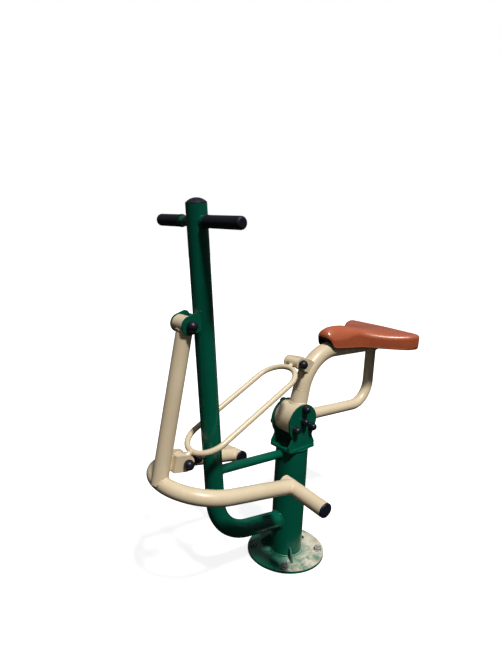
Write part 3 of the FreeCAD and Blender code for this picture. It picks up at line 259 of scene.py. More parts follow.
def scuffed_flange():
    """Green enamel of the ground plate, worn and caked with chalky cement dust on its top."""
    g = Graph("green_enamel_scuffed")
    broad = g.noise(6.0, 3.0)
    color = g.mix(g.step(broad, 0.3, 0.72), GREEN_DEEP, GREEN_BASE)
    fine = g.noise(70.0, 5.0, 0.65)
    # the caked side lies towards the saddle and one flank
    side = g.math("SUBTRACT", g.math("MULTIPLY", g.axis("X"), 4.6), g.math("MULTIPLY", g.axis("Y"), 5.2))
    side = g.step(side, -0.62, 0.42)
    up = g.step(g.facing_up(), 0.5, 0.9)
    film = g.math("MULTIPLY", up, g.step(g.math("ADD", g.math("MULTIPLY", g.noise(13.0, 5.0, 0.65), 0.9),
                                              g.math("MULTIPLY", side, 0.42)), 0.46, 0.72))
    color = g.mix(g.math("MULTIPLY", film, 0.55), color, (0.17, 0.36, 0.28))
    cake = g.math("ADD", g.math("MULTIPLY", g.noise(17.0, 6.0, 0.68, distortion=0.6), 1.0), g.math("MULTIPLY", side, 0.36))
    # a greener ring is left round the column
    out = g.math("ADD", g.math("MULTIPLY", g.axis("X"), g.axis("X")), g.math("MULTIPLY", g.axis("Y"), g.axis("Y")))
    out = g.math("ADD", 0.35, g.math("MULTIPLY", g.step(out, 0.0040, 0.0072), 0.65))
    cake = g.math("MULTIPLY", g.math("MULTIPLY", up, out), g.step(cake, 0.70, 0.88))
    cake_color = g.mix(g.step(g.noise(30.0, 5.0, 0.7), 0.36, 0.66), (0.40, 0.33, 0.24), (0.58, 0.56, 0.47))
    cake_color = g.mix(g.math("MULTIPLY", g.step(fine, 0.45, 0.7), 0.35), cake_color, (0.70, 0.73, 0.67))
    color = g.mix(g.math("MULTIPLY", cake, 0.93), color, cake_color)
    rough = g.math("ADD", 0.18, g.math("ADD", g.math("MULTIPLY", film, 0.3), g.math("MULTIPLY", cake, 0.5)), True)
    relief = g.bump(g.math("ADD", g.math("MULTIPLY", cake, 0.8), g.math("MULTIPLY", g.math("MULTIPLY", fine, cake), 0.6)),
                    0.7, 0.0012)
    peel = g.bump(g.noise(420.0, 2.0), 0.1, 0.0006, relief)
    return g.finish(color, rough, peel, specular=0.45)


def black_plastic(name, base, pale, rough, grain, depth):
    g = Graph(name)
    fine = g.noise(grain, 3.0, 0.6)
    broad = g.noise(22.0, 4.0, 0.6)
    color = g.mix(g.step(broad, 0.35, 0.75), base, pale)
    dust = g.math("MULTIPLY", g.step(g.facing_up(), 0.3, 0.95), g.step(g.noise(55.0, 5.0, 0.7), 0.45, 0.8))
    color = g.mix(g.math("MULTIPLY", dust, 0.06), color, (0.15, 0.15, 0.16))
    r = g.math("ADD", rough, g.math("MULTIPLY", g.math("ADD", fine, dust), 0.14), True)
    return g.finish(color, r, g.bump(fine, 0.25, depth), specular=0.32)


cap_black = black_plastic("cap_plastic", (0.004, 0.005, 0.012), (0.009, 0.0105, 0.021), 0.30, 260.0, 0.0004)
grip_black = black_plastic("grip_rubber_foam", (0.002, 0.003, 0.008), (0.005, 0.0065, 0.013), 0.50, 520.0, 0.0009)


def steel(name):
    g = Graph(name)
    streak = g.noise(60.0, 4.0, 0.6, g.stretch(1.0, 0.1, 1.0))
    color = g.mix(g.step(streak, 0.3, 0.7), (0.36, 0.36, 0.35), (0.55, 0.55, 0.53))
    rust = g.step(g.noise(90.0, 5.0, 0.7), 0.60, 0.72)
    color = g.mix(g.math("MULTIPLY", rust, 0.5), color, (0.20, 0.09, 0.04))
    r = g.math("ADD", 0.34, g.math("MULTIPLY", rust, 0.3), True)
    return g.finish(color, r, g.bump(streak, 0.15, 0.0003), metallic=1.0)


zinc = steel("zinc_plated_steel")


def anchor_paint():
    """Anchor hardware: zinc under worn green paint and chalky dust."""
    g = Graph("anchor_hardware")
    side = g.math("SUBTRACT", g.math("MULTIPLY", g.axis("X"), 4.6), g.math("MULTIPLY", g.axis("Y"), 5.2))
    side = g.step(side, -0.5, 0.45)
    wear = g.step(g.noise(140.0, 4.0, 0.65), 0.42, 0.6)
    color = g.mix(wear, (0.05, 0.075, 0.07), (0.34, 0.35, 0.34))
    dust = g.math("MULTIPLY", g.step(g.noise(120.0, 5.0, 0.7), 0.36, 0.62), side)
    color = g.mix(g.math("MULTIPLY", dust, 0.6), color, (0.66, 0.64, 0.59))
    r = g.math("ADD", 0.35, g.math("MULTIPLY", dust, 0.5), True)
    return g.finish(color, r, g.bump(g.noise(300.0, 3.0), 0.3, 0.0006), specular=0.5)


def nylon(name):
    g = Graph(name)
    n = g.noise(80.0, 4.0)
    color = g.mix(g.step(n, 0.3, 0.7), (0.50, 0.48, 0.42), (0.62, 0.60, 0.54))
    return g.finish(color, g.math("ADD", 0.38, g.math("MULTIPLY", n, 0.15)), g.bump(n, 0.1, 0.0004))


def saddle_skin():
    """Moulded integral skin: fine pebble grain, lighter on top (painted light of the lit top, with some sun fading),
    grime low on the sides.
    """
    g = Graph("saddle_moulded_skin")
    broad = g.noise(8.0, 4.0, 0.6)
    color = g.mix(g.step(broad, 0.32, 0.7), (0.37, 0.080, 0.028), (0.42, 0.096, 0.036))
    # up-facing surfaces lighter: painted light of the lit top, with some sun fading
    lit_top_and_fading = g.math("MULTIPLY", g.step(g.facing_up(), 0.55, 1.0), 0.32)
    color = g.mix(lit_top_and_fading, color, (0.53, 0.128, 0.048))
    blotch = g.step(g.noise(21.0, 5.0, 0.7), 0.55, 0.8)
    color = g.mix(g.math("MULTIPLY", blotch, 0.16), color, (0.30, 0.075, 0.035))
    low = g.step(g.axis("Z"), 0.742, 0.768, 1.0, 0.0)
    grime = g.math("MULTIPLY", low, g.step(g.noise(40.0, 5.0, 0.7), 0.38, 0.7))
    color = g.mix(g.math("MULTIPLY", grime, 0.5), color, (0.13, 0.045, 0.026))
    pebble = g.voronoi(620.0)
    r = g.math("ADD", 0.235, g.math("ADD", g.math("MULTIPLY", g.noise(70.0, 4.0), 0.09), g.math("MULTIPLY", grime, 0.15)), True)
    n = g.bump(pebble, 0.05, 0.0004)
    n = g.bump(g.noise(30.0, 3.0, 0.5), 0.06, 0.002, n)
    return g.finish(color, r, n, specular=0.95, coat=0.45, coat_rough=0.32)


def saddle_painted_shade_inside():
    """Underside and lower lip of the moulding, near black: painted shade of the hollow and the lip; dull, dusty in
    patches.
    """
    g = Graph("saddle_painted_shade_inside")
    n = g.noise(35.0, 5.0, 0.65)
    # near-black colours stand in for the shade inside the hollow and under the lip: painted shade
    color = g.mix(g.step(n, 0.3, 0.7), (0.016, 0.007, 0.004), (0.045, 0.017, 0.009))
    fine = g.noise(300.0, 3.0, 0.6)
    return g.finish(color, g.math("ADD", 0.55, g.math("MULTIPLY", fine, 0.2)), g.bump(fine, 0.3, 0.0006), specular=0.2)


painted_shade_underside = saddle_painted_shade_inside()
flange_paint = scuffed_flange()
anchor_mat = anchor_paint()
bearing = nylon("bearing_plastic")
skin = saddle_skin()

BY_SLOT = {"green_enamel": green, "beige_enamel": beige, "zinc_steel": zinc, "black_plastic": cap_black,
           "grip_rubber": grip_black, "bearing_nylon": bearing, "saddle_skin": skin}
for part in frame["record"]["subparts"]:
    obj = NODES[part["node"]]
    mat = BY_SLOT[part["material_slot"]]
    if part["node"] == "base_flange":
        mat = flange_paint
    elif part["node"] == "foot_gussets":
        mat = dull_green
    obj.data.materials.clear()
    obj.data.materials.append(mat)


# ---------------------------------------------------------------------------
# mesh helpers
# ---------------------------------------------------------------------------
def mesh_object(name, verts, faces, mat, body, smooth=True, index=None):
    me = bpy.data.meshes.new(name)
    me.from_pydata([tuple(np.asarray(v, float) * MM) for v in verts], [], faces)
    if index is not None:
        me.polygons.foreach_set("material_index", index)
    me.validate()
    bm = bmesh.new()
    bm.from_mesh(me)
    bmesh.ops.remove_doubles(bm, verts=bm.verts, dist=2e-6)
    bmesh.ops.recalc_face_normals(bm, faces=bm.faces)
    bm.to_mesh(me)
    bm.free()
    for p in me.polygons:
        p.use_smooth = smooth
    me.materials.append(mat)
    ob = bpy.data.objects.new(name, me)
    bpy.context.scene.collection.objects.link(ob)
    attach(ob, body)
    return ob


def ring_faces(rows, cols, closed_rows, offset=0):
    faces = []
    for i in range(rows if closed_rows else rows - 1):
        a, b = offset + i * cols, offset + ((i + 1) % rows) * cols
        for j in range(cols):
            k = (j + 1) % cols
            faces.append((a + j, a + k, b + k, b + j))
    return faces


def bead(path, radius, seed, closed=True, around=None, pitch=4.6, sides=8):
    """Weld bead along a path: overlapping scallops with a little unevenness."""
    path = np.asarray(path, float)
    loop_pts = np.vstack([path, path[:1]]) if closed else path
    seg = np.linalg.norm(np.diff(loop_pts, axis=0), axis=1)
    run = np.concatenate([[0], np.cumsum(seg)])
    n = max(8, int(run[-1] / 1.25))
    s = np.linspace(0, run[-1], n, endpoint=not closed)
    pts = np.stack([np.interp(s, run, loop_pts[:, k]) for k in range(3)], 1)
    verts = []
    for i in range(n):
        if closed:
            t = unit(pts[(i + 1) % n] - pts[i - 1])
        else:
            t = unit(pts[min(i + 1, n - 1)] - pts[max(i - 1, 0)])
        ref = pts[i] - around if around is not None else np.array([0.31, 0.52, 0.8])
        e1 = unit(ref - t * (ref @ t))
        e2 = np.cross(t, e1)
        wob = noise.noise(Vector((s[i] * 0.05, seed * 3.7, 0.3)))
        r = radius * (1.0 + 0.03 * math.cos(2 * math.pi * s[i] / pitch) + 0.12 * wob)
        if not closed:
            r *= min(1.0, 0.35 + min(i, n - 1 - i) / 4.0)
        off = e1 * (0.25 * radius * noise.noise(Vector((s[i] * 0.04, seed * 1.3, 7.1))))
        for j in range(sides):
            a = 2 * math.pi * j / sides
            verts.append(pts[i] + off + r * (math.cos(a) * e1 + math.sin(a) * e2))
    faces = ring_faces(n, sides, closed)
    if not closed:
        faces.append(tuple(range(sides)))
        faces.append(tuple((n - 1) * sides + j for j in range(sides)))
    return verts, faces


def distance(p, path):
    """Distance of points p to a polyline."""
    a, b = path[:-1], path[1:]
    d = b - a
    t = np.clip(np.einsum("nmk,mk->nm", p[:, None] - a[None], d) / np.einsum("mk,mk->m", d, d), 0, 1)
    return np.linalg.norm(p[:, None] - (a[None] + t[..., None] * d[None]), axis=2).min(1)


def seam(origin, direction, radius, path, path_radius, n=120, reach=200.0):
    """Where a tube running along a direction meets another tube's surface."""
    d = unit(direction)
    e1 = unit(np.cross(d, Y) if abs(d @ Y) < 0.9 else np.cross(d, [0, 0, 1.0]))
    e2 = np.cross(d, e1)
    a = np.linspace(0, 2 * math.pi, n, endpoint=False)
    p = np.asarray(origin, float) + radius * (np.cos(a)[:, None] * e1 + np.sin(a)[:, None] * e2)
    t = np.zeros(n)
    for _ in range(80):
        t += np.maximum(distance(p + t[:, None] * d, path) - path_radius, 0.0)
        t = np.minimum(t, reach)
    return (p + t[:, None] * d)[t < reach - 1e-6]


class Welds:
    """All beads of one body and colour, collected into one piece."""

    def __init__(self, name, body, mat, slot):
        self.args, self.verts, self.faces, self.count = (name, body, mat, slot), [], [], 0

    def add(self, path, radius=3.2, closed=True, around=None):
        self.count += 1
        v, f = bead(path, radius, self.count * 1.7 + len(self.args[0]), closed, around)
        k = len(self.verts)
        self.verts += v
        self.faces += [tuple(i + k for i in q) for q in f]

    def tube(self, origin, direction, radius, path, path_radius, bead_radius=3.2, within=None):
        pts = seam(origin, direction, radius, path, path_radius)
        if within is not None:
            pts[:, 1] = np.clip(pts[:, 1], -within, within)
        if len(pts) > 20:
            self.add(pts, bead_radius, True, pts.mean(0))

    def line(self, p, q, radius=2.6):
        p, q = np.asarray(p, float), np.asarray(q, float)
        n = max(2, int(np.linalg.norm(q - p) / 2))
        self.add(np.array([p + (q - p) * i / n for i in range(n + 1)]), radius, False)

    def build(self):
        name, body, mat, slot = self.args
        return mesh_object(name, self.verts, self.faces, mat, body)


def circle_points(centre, normal, radius, n=120):
    d = unit(normal)
    e1 = unit(np.cross(d, Y) if abs(d @ Y) < 0.9 else np.cross(d, [0, 0, 1.0]))
    e2 = np.cross(d, e1)
    a = np.linspace(0, 2 * math.pi, n, endpoint=False)
    return np.asarray(centre, float) + radius * (np.cos(a)[:, None] * e1 + np.sin(a)[:, None] * e2)


# ---------------------------------------------------------------------------
# weld beads
# ---------------------------------------------------------------------------
w = Welds("frame_welds", "frame", green, "green_enamel")
w.add(circle_points((0, 0, 415.2), (0, 0, 1), 57.6), 3.0, True, np.array([0, 0, 415.2]))
foot_run = unit(POST[-1] - POST[-2])
w.tube(POST[-1] - foot_run * 110, foot_run, 30.0, COLUMN, 57.0, 3.8)
brace_run = unit(BRACE[1] - BRACE[0])
w.tube(BRACE[0] + brace_run * 150, brace_run, 15.0, COLUMN, 57.0, 2.8)
w.tube(BRACE[0] + brace_run * 150, -brace_run, 15.0, POST, 30.0, 2.8)
bar_axis_x = post_x(1176)
for s in (1, -1):
    w.tube((bar_axis_x, s * 60, 1176), (0, -s, 0), 15.0, POST, 30.0, 2.6)
    for yy in (39.6, 46.4):
        w.line((-44, s * yy, 424.0), (44, s * yy, 424.0), 1.3)
web_up = unit([-math.sin(LEAN), 0, math.cos(LEAN)])
post_perp = np.array([math.cos(LEAN), 0, math.sin(LEAN)])
post_at = np.array([post_x(A[2]), 0, A[2]])
for s in (1, -1):
    mid = post_at - post_perp * 27.2 + Y * s * 14.0
    w.line(mid - web_up * 14, mid + web_up * 22, 3.4)
frame_welds = w.build()

w = Welds("flange_welds", "frame", flange_paint, "green_enamel")
w.add(circle_points((0, 0, 10.6), (0, 0, 1), 58.2), 3.6, True, np.array([0, 0, 10.6]))
for a in (-120, 0, 120):
    c, s = math.cos(math.radians(a)), math.sin(math.radians(a))
    for side in (3.2, -3.2):
        def at(r, z):
            return (r * c - side * s, r * s + side * c, z)
        w.line(at(60, 10.3), at(93, 10.3), 2.0)
        w.line(at(57.4, 14), at(57.4, 46), 2.0)
w.build()

w = Welds("lever_welds", "foot_lever", beige, "beige_enamel")
w.tube(LEVER_TOP + LEVER_DOWN * 120, -LEVER_DOWN, 24.0, np.array([A - Y * 24, A + Y * 24]), 25.0, 3.0, within=21.4)
w.tube(LEVER_TOP + LEVER_DOWN * 340, LEVER_DOWN, 23.2, FOOT, 24.0, 3.4)
for s in (1, -1):
    inner = PEG_MID + Y * s * 111.0
    outer = PEG_MID + np.array([-8.0, s * 292.0, -12.0])
    w.tube(PEG_MID - LEVER_BACK * 120 + Y * s * HALF, LEVER_BACK, 23.2, np.array([inner, outer]), 24.0, 3.0)
reach = float((C - LEVER_TOP) @ LEVER_BACK)
for s in (1, -1):
    mid = LEVER_TOP + LEVER_DOWN * float((C - LEVER_TOP) @ LEVER_DOWN) + LEVER_BACK * 21.6 + Y * s * 12.0
    w.line(mid + LEVER_DOWN * 24, mid - LEVER_DOWN * 24, 3.2)
lever_welds = w.build()

w = Welds("link_welds", "pull_link", beige, "beige_enamel")
w.tube(C + LINK * 28, -LINK, 9.0, np.array([C - Y * 22, C + Y * 22]), 20.0, 2.2)
w.tube(C + LINK * 22, LINK, 9.0, LOOP, 9.0, 2.2)
w.tube(D - LINK * 22, LINK, 8.0, np.array([D - Y * 23, D + Y * 23]), 17.0, 2.0)
w.tube(D - LINK * 18, -LINK, 8.0, LOOP, 9.0, 2.0)
link_welds = w.build()

w = Welds("swing_welds", "seat_swing", beige, "beige_enamel")
w.tube(ARM_ROOT + ARM_UP * 100, -ARM_UP, 31.9, HUB, 57.0, 3.4)
w.add(circle_points(ARM_ROOT + ARM_UP * 104, ARM_UP, 29.6), 1.4, True, ARM_ROOT + ARM_UP * 104)
strut_run = unit(np.array([40.0, 0, 515.5]) - np.array([410.5, 0, 499]))
w.tube(np.array([40.0, 0, 515.5]) - strut_run * 120, strut_run, 20.0, HUB, 57.0, 3.2)
w.tube((410.5, 0, 640), (0, 0, 1), 20.0, ARM, 30.0, 3.0)
for s in (1, -1):
    w.line((15.5, s * 25.4, 692.6), (37.0, s * 25.4, 727.6), 1.8)
swing_welds = w.build()


# ---------------------------------------------------------------------------
# ground anchors: washer, hexagon nut and the end of the stud
# ---------------------------------------------------------------------------
def lathe(profile, sides, centre):
    verts = []
    for r, z in profile:
        for j in range(sides):
            a = 2 * math.pi * j / sides
            verts.append((centre[0] + r * math.cos(a), centre[1] + r * math.sin(a), z))
    return verts, ring_faces(len(profile), sides, False) + [tuple(range(sides)),
                                                            tuple((len(profile) - 1) * sides + j for j in range(sides))]


def hex_nut(centre, z0, flat, height, bore, turn):
    """Hexagon with both ends chamfered round."""
    sides = 48
    verts = []
    levels = [(z0, 0.5), (z0 + 1.1, 1.0), (z0 + height - 1.6, 1.0), (z0 + height, 0.0)]
    for z, full in levels:
        for j in range(sides):
            a = 2 * math.pi * j / sides
            k = (a + math.pi / 6) % (math.pi / 3) - math.pi / 6
            r_hex = flat / 2 / math.cos(k)
            r_cap = flat / 2 * (0.985 if full == 0.0 else 1.02 if full == 0.5 else 2.0)
            r = min(r_hex, r_cap)
            verts.append((centre[0] + r * math.cos(a + turn), centre[1] + r * math.sin(a + turn), z))
    for r, z in ((bore + 1.2, z0 + height), (bore, z0 + height - 1.2), (bore, z0)):
        for j in range(sides):
            a = 2 * math.pi * j / sides + turn
            verts.append((centre[0] + r * math.cos(a), centre[1] + r * math.sin(a), z))
    return verts, ring_faces(7, sides, True)


verts, faces = [], []


def keep(made):
    v, f = made
    k = len(verts)
    verts.extend(v)
    faces.extend(tuple(i + k for i in q) for q in f)


for i, ang in enumerate((45, 135, 225, 315)):
    c = (119 * math.cos(math.radians(ang)), 119 * math.sin(math.radians(ang)))
    keep(lathe([(14.2, 10.05), (14.8, 10.6), (14.8, 12.4), (14.0, 13.0), (8.6, 13.0)], 40, c))
    keep(hex_nut(c, 13.05, 23.6, 11.0, 7.75, math.radians(17 + 41 * i)))
    thread = []
    z = 6.0
    while z < 27.0:
        thread += [(7.65, z), (7.05, z + 0.9)]
        z += 1.8
    thread += [(7.2, 27.6), (6.2, 28.6)]
    keep(lathe(thread, 28, c))
anchors = mesh_object("ground_anchor_nuts", verts, faces, anchor_mat, "frame", smooth=False)
anchors.data.shade_smooth()
edge = anchors.modifiers.new("crisp", "EDGE_SPLIT")
edge.split_angle = math.radians(28)


# ---------------------------------------------------------------------------
# moulded saddle
# ---------------------------------------------------------------------------
def catmull(points, per):
    """Closed smooth curve through plan points."""
    p = np.asarray(points, float)
    n = len(p)
    out = []
    for i in range(n):
        p0, p1, p2, p3 = p[i - 1], p[i], p[(i + 1) % n], p[(i + 2) % n]
        t0 = 0.0
        t1 = t0 + np.linalg.norm(p1 - p0) ** 0.5
        t2 = t1 + np.linalg.norm(p2 - p1) ** 0.5
        t3 = t2 + np.linalg.norm(p3 - p2) ** 0.5
        for k in range(per):
            t = t1 + (t2 - t1) * k / per
            a1 = (t1 - t) / (t1 - t0) * p0 + (t - t0) / (t1 - t0) * p1
            a2 = (t2 - t) / (t2 - t1) * p1 + (t - t1) / (t2 - t1) * p2
            a3 = (t3 - t) / (t3 - t2) * p2 + (t - t2) / (t3 - t2) * p3
            b1 = (t2 - t) / (t2 - t0) * a1 + (t - t0) / (t2 - t0) * a2
            b2 = (t3 - t) / (t3 - t1) * a2 + (t - t1) / (t3 - t1) * a3
            out.append((t2 - t) / (t2 - t1) * b1 + (t - t1) / (t2 - t1) * b2)
    return np.array(out)


SEAT_HALF = [(120.6, 15), (126.5, 27), (139, 35.5), (160, 40), (190, 42.2), (230, 43.5), (265, 45), (285, 48.5),
             (300, 56.5), (330, 78), (370, 108), (400, 130), (420, 144), (438, 155), (455, 161.5), (472, 165.5), (482, 164),
             (488, 157), (491, 142), (491.5, 100), (491.5, 50)]
GRID = np.arange(90.0, 530.0, 1.0)


def smooth_line(points, sigma):
    """Height line along the saddle through points, softened."""
    p = np.asarray(points, float)
    z = np.interp(GRID, p[:, 0], p[:, 1])
    k = np.exp(-0.5 * (np.arange(-40, 41) / sigma) ** 2)
    return np.convolve(np.pad(z, 40, mode="edge"), k / k.sum(), mode="valid")


CROWN = smooth_line([(118, 803), (122, 812), (128, 818.5), (138, 824.5), (150, 828), (180, 830), (215, 828.5), (250, 823.5),
                     (300, 815), (350, 808.5), (400, 804.5), (450, 802.5), (490, 801)], 3.0)
RIDGE = smooth_line([(118, 796), (140, 800), (150, 801.5), (174, 802), (197, 802), (216, 803), (236, 807), (262, 808.5),
                     (290, 804), (304, 801), (321, 798), (336, 796.5), (371, 795), (403, 795.5), (436, 797), (468, 799),
                     (490, 799.5)], 6.0)
WIDTH = smooth_line([(118, 36), (139, 36.5), (160, 40), (190, 42.2), (230, 43.5), (265, 45), (285, 48.5), (300, 56.5),
                     (330, 78), (370, 108), (400, 130), (420, 144), (438, 155), (456, 166), (472, 168), (490, 168)], 5.0)
RIM = smooth_line([(118, 796), (121.5, 794.5), (127.8, 788.5), (135.6, 777.5), (139.5, 767.5), (143, 760.5), (150, 756.5),
                   (158, 755), (190, 751.5), (226, 748.5), (280, 745.5), (337, 743.5), (370, 742.8), (406, 742), (437, 741),
                   (478, 739.8), (491, 739.5)], 1.6)


def lean(x):
    """Slight sideways tilt of the broad rear end, rise per unit width."""
    f = np.clip((np.asarray(x, float) - 280.0) / 120.0, 0.0, 1.0)
    return 0.014 * f * f * (3 - 2 * f)


def saddle():
    plan = [(119.2, 0.0)] + [(x, -y) for x, y in SEAT_HALF] + [(491.7, 0.0)] + [(x, y) for x, y in reversed(SEAT_HALF)]
    raw = catmull(plan, 24)
    closed = np.vstack([raw, raw[:1]])
    run = np.concatenate([[0], np.cumsum(np.linalg.norm(np.diff(closed, axis=0), axis=1))])
    n = 320
    s = np.linspace(0, run[-1], n, endpoint=False)
    o = np.stack([np.interp(s, run, closed[:, k]) for k in range(2)], 1)
    tan = np.roll(o, -1, 0) - np.roll(o, 1, 0)
    tan /= np.linalg.norm(tan, axis=1)[:, None]
    inward = np.stack([-tan[:, 1], tan[:, 0]], 1)
    for _ in range(3):
        inward = (inward + np.roll(inward, 1, 0) + np.roll(inward, -1, 0)) / 3
    inward /= np.linalg.norm(inward, axis=1)[:, None]

    def top(x, y):
        """Sitting surface: high crown over the nose falling back to broad, gently dished wings."""
        zc, zr, w = (np.interp(x, GRID, line) for line in (CROWN, RIDGE, WIDTH))
        u = np.abs(y) / (0.92 * w)
        z = zc - (zc - zr) * np.minimum(u, 1.25) ** 2
        return z + lean(x) * y - 2.0 * np.exp(-(((x - 415.0) / 50.0) ** 2 + ((np.abs(y) - 72.0) / 40.0) ** 2))

    def under(x, y):
        """Lower rim: nearly level along the wings, arched up at the nose where the arm comes in."""
        return np.interp(x, GRID, RIM) + lean(x) * y

    def ceiling(x):
        return BEND_END[2] - 0.0201 * (x - BEND_END[0]) + 35.4

    ox, oy = o[:, 0], o[:, 1]
    zb = under(ox, oy)
    shoulder = np.interp(ox, [119, 124, 132, 150, 240, 300, 400, 460, 486, 491.5], [5, 7, 10, 12, 12, 13, 14, 14, 12, 11])
    wall = np.clip(np.abs(oy) - 31.5, 4.0, 15.0)
    rear = np.clip((ox - 425.0) / 50.0, 0.0, 1.0)
    rear = rear * rear * (3 - 2 * rear)
    wall = wall + 9.0 * rear
    flank = np.clip((oy - 20.0) / 80.0, 0.0, 1.0)
    shoulder = shoulder * (1 - flank) + np.minimum(shoulder, 11.0) * flank
    rows = []

    def tuck(dz):
        """How far the wall draws in above the rim, round at the rear end."""
        r = 13.0
        h = r - np.clip(dz, 0.0, r)
        return rear * (r - np.sqrt(np.maximum(r * r - h * h, 0.0)))

    def row(inset, z):
        p = o + inward * np.asarray(inset)[:, None]
        rows.append(np.column_stack([p, z]))

    one = np.ones(n)
    # inside of the rim, from the ceiling down
    ceil_z = ceiling(ox)
    row(wall + 2.6, np.maximum(ceil_z, zb + 1.5))
    row(wall + 0.8, np.maximum(ceil_z - 1.6, zb + 1.2))
    row(wall, np.maximum(ceil_z - 6.0, zb + 1.0))
    row(wall, np.minimum(zb + 4.0, np.maximum(ceil_z - 6.5, zb + 0.9)))
    row(wall - 1.2, zb + 0.6)
    row(np.maximum(wall * 0.55, 2.6) + 8.0 * rear, zb)
    # rounded lower lip running into the wall
    thin = np.clip(wall / 9.0, 0.5, 1.0)
    lip = np.interp(ox, [119, 128, 142], [0.35, 0.6, 1.0])
    for a in (20, 45, 70, 90):
        r = math.radians(a)
        dz = 3.0 * lip * (1 - math.cos(r))
        row(one * (0.6 + 3.6 * (1 - math.sin(r))) * thin + tuck(dz), zb + dz)
    for dz, inset in ((4.2, 0.62), (5.0, 0.68), (5.8, 0.75), (6.6, 0.82), (7.6, 0.9)):
        row(inset * thin * lip + tuck(dz * lip), zb + dz * lip)
    # wall, full below the shoulder
    ring_top = top(ox, oy) - shoulder
    z_low = zb + 8.6 * lip
    z_high = np.maximum(ring_top, z_low + 1.0)
    for f in (0.12, 0.3, 0.5, 0.7, 0.88):
        z = z_low + (z_high - z_low) * f
        row(one * (0.9 * (1 - f) ** 1.5) + tuck(z - zb), z)
    for a in (0, 10, 20, 30, 40, 50, 60, 70, 80, 90):
        r = math.radians(a)
        p = o + inward * (shoulder * (1 - math.cos(r)))[:, None]
        rows.append(np.column_stack([p, np.maximum(top(p[:, 0], p[:, 1]) - shoulder * (1 - math.sin(r)), z_high)]))
    edge_xy = o + inward * shoulder[:, None]
    spine_x = np.clip(edge_xy[:, 0], 146.0, 428.0)
    spine = np.column_stack([spine_x, np.zeros(n)])
    for t in np.linspace(0.0, 1.0, 24)[1:]:
        p = edge_xy * (1 - t) + spine * t
        rows.append(np.column_stack([p, top(p[:, 0], p[:, 1])]))
    # ceiling of the hollow underneath
    in_xy = o + inward * (wall + 2.6)[:, None]
    start = rows[0][:, 2]
    hidden = []
    for t in np.linspace(0.12, 1.0, 8):
        p = in_xy * (1 - t) + spine * t
        z = start + (ceiling(p[:, 0]) - start) * min(1.0, t * 3)
        hidden.append(np.column_stack([p, np.maximum(z, ceiling(p[:, 0]))]))
    rows = list(reversed(hidden)) + rows
    # the hollow and the lower lip take the near-black material: painted shade
    painted_shade_rows = len(hidden) + 9
    verts = np.vstack(rows)
    faces = ring_faces(len(rows), n, False)
    ob = mesh_object("saddle_moulding", verts, faces, skin, "seat_swing",
                     index=[1 if k // n < painted_shade_rows else 0 for k in range(len(faces))])
    ob.data.materials.append(painted_shade_underside)
    bm = bmesh.new()
    bm.from_mesh(ob.data)
    bmesh.ops.remove_doubles(bm, verts=bm.verts, dist=3e-4)
    bmesh.ops.dissolve_degenerate(bm, edges=bm.edges, dist=1e-5)
    bmesh.ops.recalc_face_normals(bm, faces=bm.faces)
    bm.to_mesh(ob.data)
    bm.free()
    ob.data.shade_smooth()
    return ob


seat = saddle()
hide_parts("saddle")

# ---------------------------------------------------------------------------
# studio: pale floor, white surround, one soft key, gentle sky
# ---------------------------------------------------------------------------
def floor_material():
    """Pale matt floor with a little glow of its own, so that it stays light under the machine."""
    g = Graph("floor_pale")
    n = g.noise(3.0, 4.0)
    color = g.mix(n, (0.46, 0.46, 0.457), (0.50, 0.50, 0.497))
    mat = g.finish(color, 0.8, g.bump(g.noise(120.0, 2.0), 0.02, 0.001), specular=0.1)
    g.bsdf.inputs["Emission Color"].default_value = (1.0, 1.0, 1.0, 1.0)
    g.bsdf.inputs["Emission Strength"].default_value = 0.84
    return mat


me = bpy.data.meshes.new("floor")
side = 14.0
me.from_pydata([(-side, -side, -0.0005), (side, -side, -0.0005), (side, side, -0.0005), (-side, side, -0.0005)], [],
               [(0, 1, 2, 3)])
me.materials.append(floor_material())
floor = bpy.data.objects.new("floor", me)
bpy.context.scene.collection.objects.link(floor)
floor.visible_diffuse = False
floor.visible_glossy = False

bm = bmesh.new()
bmesh.ops.create_uvsphere(bm, u_segments=48, v_segments=24, radius=19.0)
me = bpy.data.meshes.new("surround")
bm.to_mesh(me)
bm.free()
white = bpy.data.materials.new("surround_white")
white.use_nodes = True
white.node_tree.nodes.clear()
out = white.node_tree.nodes.new("ShaderNodeOutputMaterial")
glow = white.node_tree.nodes.new("ShaderNodeEmission")
glow.inputs["Color"].default_value = (1.0, 1.0, 1.0, 1.0)
glow.inputs["Strength"].default_value = 1.0
white.node_tree.links.new(glow.outputs[0], out.inputs["Surface"])
me.materials.append(white)
surround = bpy.data.objects.new("surround", me)
bpy.context.scene.collection.objects.link(surround)
for flag in ("visible_diffuse", "visible_glossy", "visible_transmission", "visible_volume_scatter", "visible_shadow"):
    setattr(surround, flag, False)

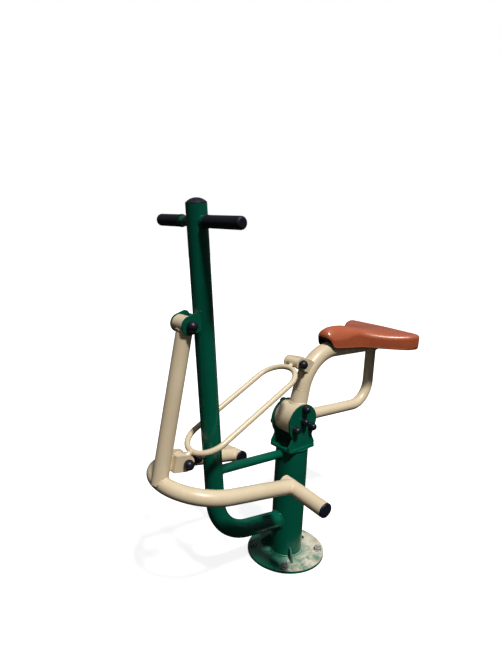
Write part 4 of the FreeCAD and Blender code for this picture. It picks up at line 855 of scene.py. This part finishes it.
world = bpy.data.worlds.new("studio")
bpy.context.scene.world = world
world.use_nodes = True
wt = world.node_tree
wt.nodes.clear()
w_out = wt.nodes.new("ShaderNodeOutputWorld")
w_bg = wt.nodes.new("ShaderNodeBackground")
w_co = wt.nodes.new("ShaderNodeTexCoord")
w_sep = wt.nodes.new("ShaderNodeSeparateXYZ")
w_ramp = wt.nodes.new("ShaderNodeValToRGB")
w_map = wt.nodes.new("ShaderNodeMapRange")
w_map.inputs[1].default_value, w_map.inputs[2].default_value = -1.0, 1.0
wt.links.new(w_co.outputs["Generated"], w_sep.inputs[0])
wt.links.new(w_sep.outputs["Z"], w_map.inputs[0])
wt.links.new(w_map.outputs[0], w_ramp.inputs[0])
stops = w_ramp.color_ramp.elements
stops[0].position, stops[0].color = 0.0, (0.06, 0.052, 0.043, 1)
stops[1].position, stops[1].color = 1.0, (0.62, 0.66, 0.72, 1)
for pos, col in ((0.47, (0.11, 0.10, 0.088, 1)), (0.53, (0.30, 0.31, 0.325, 1))):
    e = w_ramp.color_ramp.elements.new(pos)
    e.color = col
wt.links.new(w_ramp.outputs[0], w_bg.inputs["Color"])
w_bg.inputs["Strength"].default_value = 0.32
wt.links.new(w_bg.outputs[0], w_out.inputs["Surface"])


key_dir = Vector((-0.12, -0.48, 0.86)).normalized()
key_data = bpy.data.lights.new("key", "SUN")
key_data.energy, key_data.angle, key_data.color = 4.1, math.radians(7.0), (1.0, 0.965, 0.91)
key = bpy.data.objects.new("key", key_data)
bpy.context.scene.collection.objects.link(key)
key.location = key_dir * 4.0
key.rotation_mode = "QUATERNION"
key.rotation_quaternion = (-key_dir).to_track_quat("-Z", "Y")

# ---------------------------------------------------------------------------
# camera at the photograph's viewpoint
# ---------------------------------------------------------------------------
focal_px, az, pitch, roll = 519.477, math.radians(-40.898), math.radians(11.701), math.radians(-2.632)
fwd = Vector((-math.sin(az) * math.cos(pitch), math.cos(az) * math.cos(pitch), -math.sin(pitch)))
right = Vector((math.cos(az), math.sin(az), 0.0))
up = right.cross(fwd)
cam_x = math.cos(roll) * right - math.sin(roll) * up
cam_y = math.cos(roll) * up + math.sin(roll) * right
cam_data = bpy.data.cameras.new("photo_view")
cam_data.sensor_fit, cam_data.sensor_width = "AUTO", 36.0
cam_data.lens = focal_px / 667.0 * 36.0
cam = bpy.data.objects.new("photo_view", cam_data)
bpy.context.scene.collection.objects.link(cam)
m = Matrix.Identity(4)
for i in range(3):
    m[i][0], m[i][1], m[i][2] = cam_x[i], cam_y[i], -fwd[i]
m.translation = Vector((-1.259418, -1.197809, 1.17014))
cam.matrix_world = m
bpy.context.scene.camera = cam
bpy.context.scene.view_settings.view_transform = "Standard"
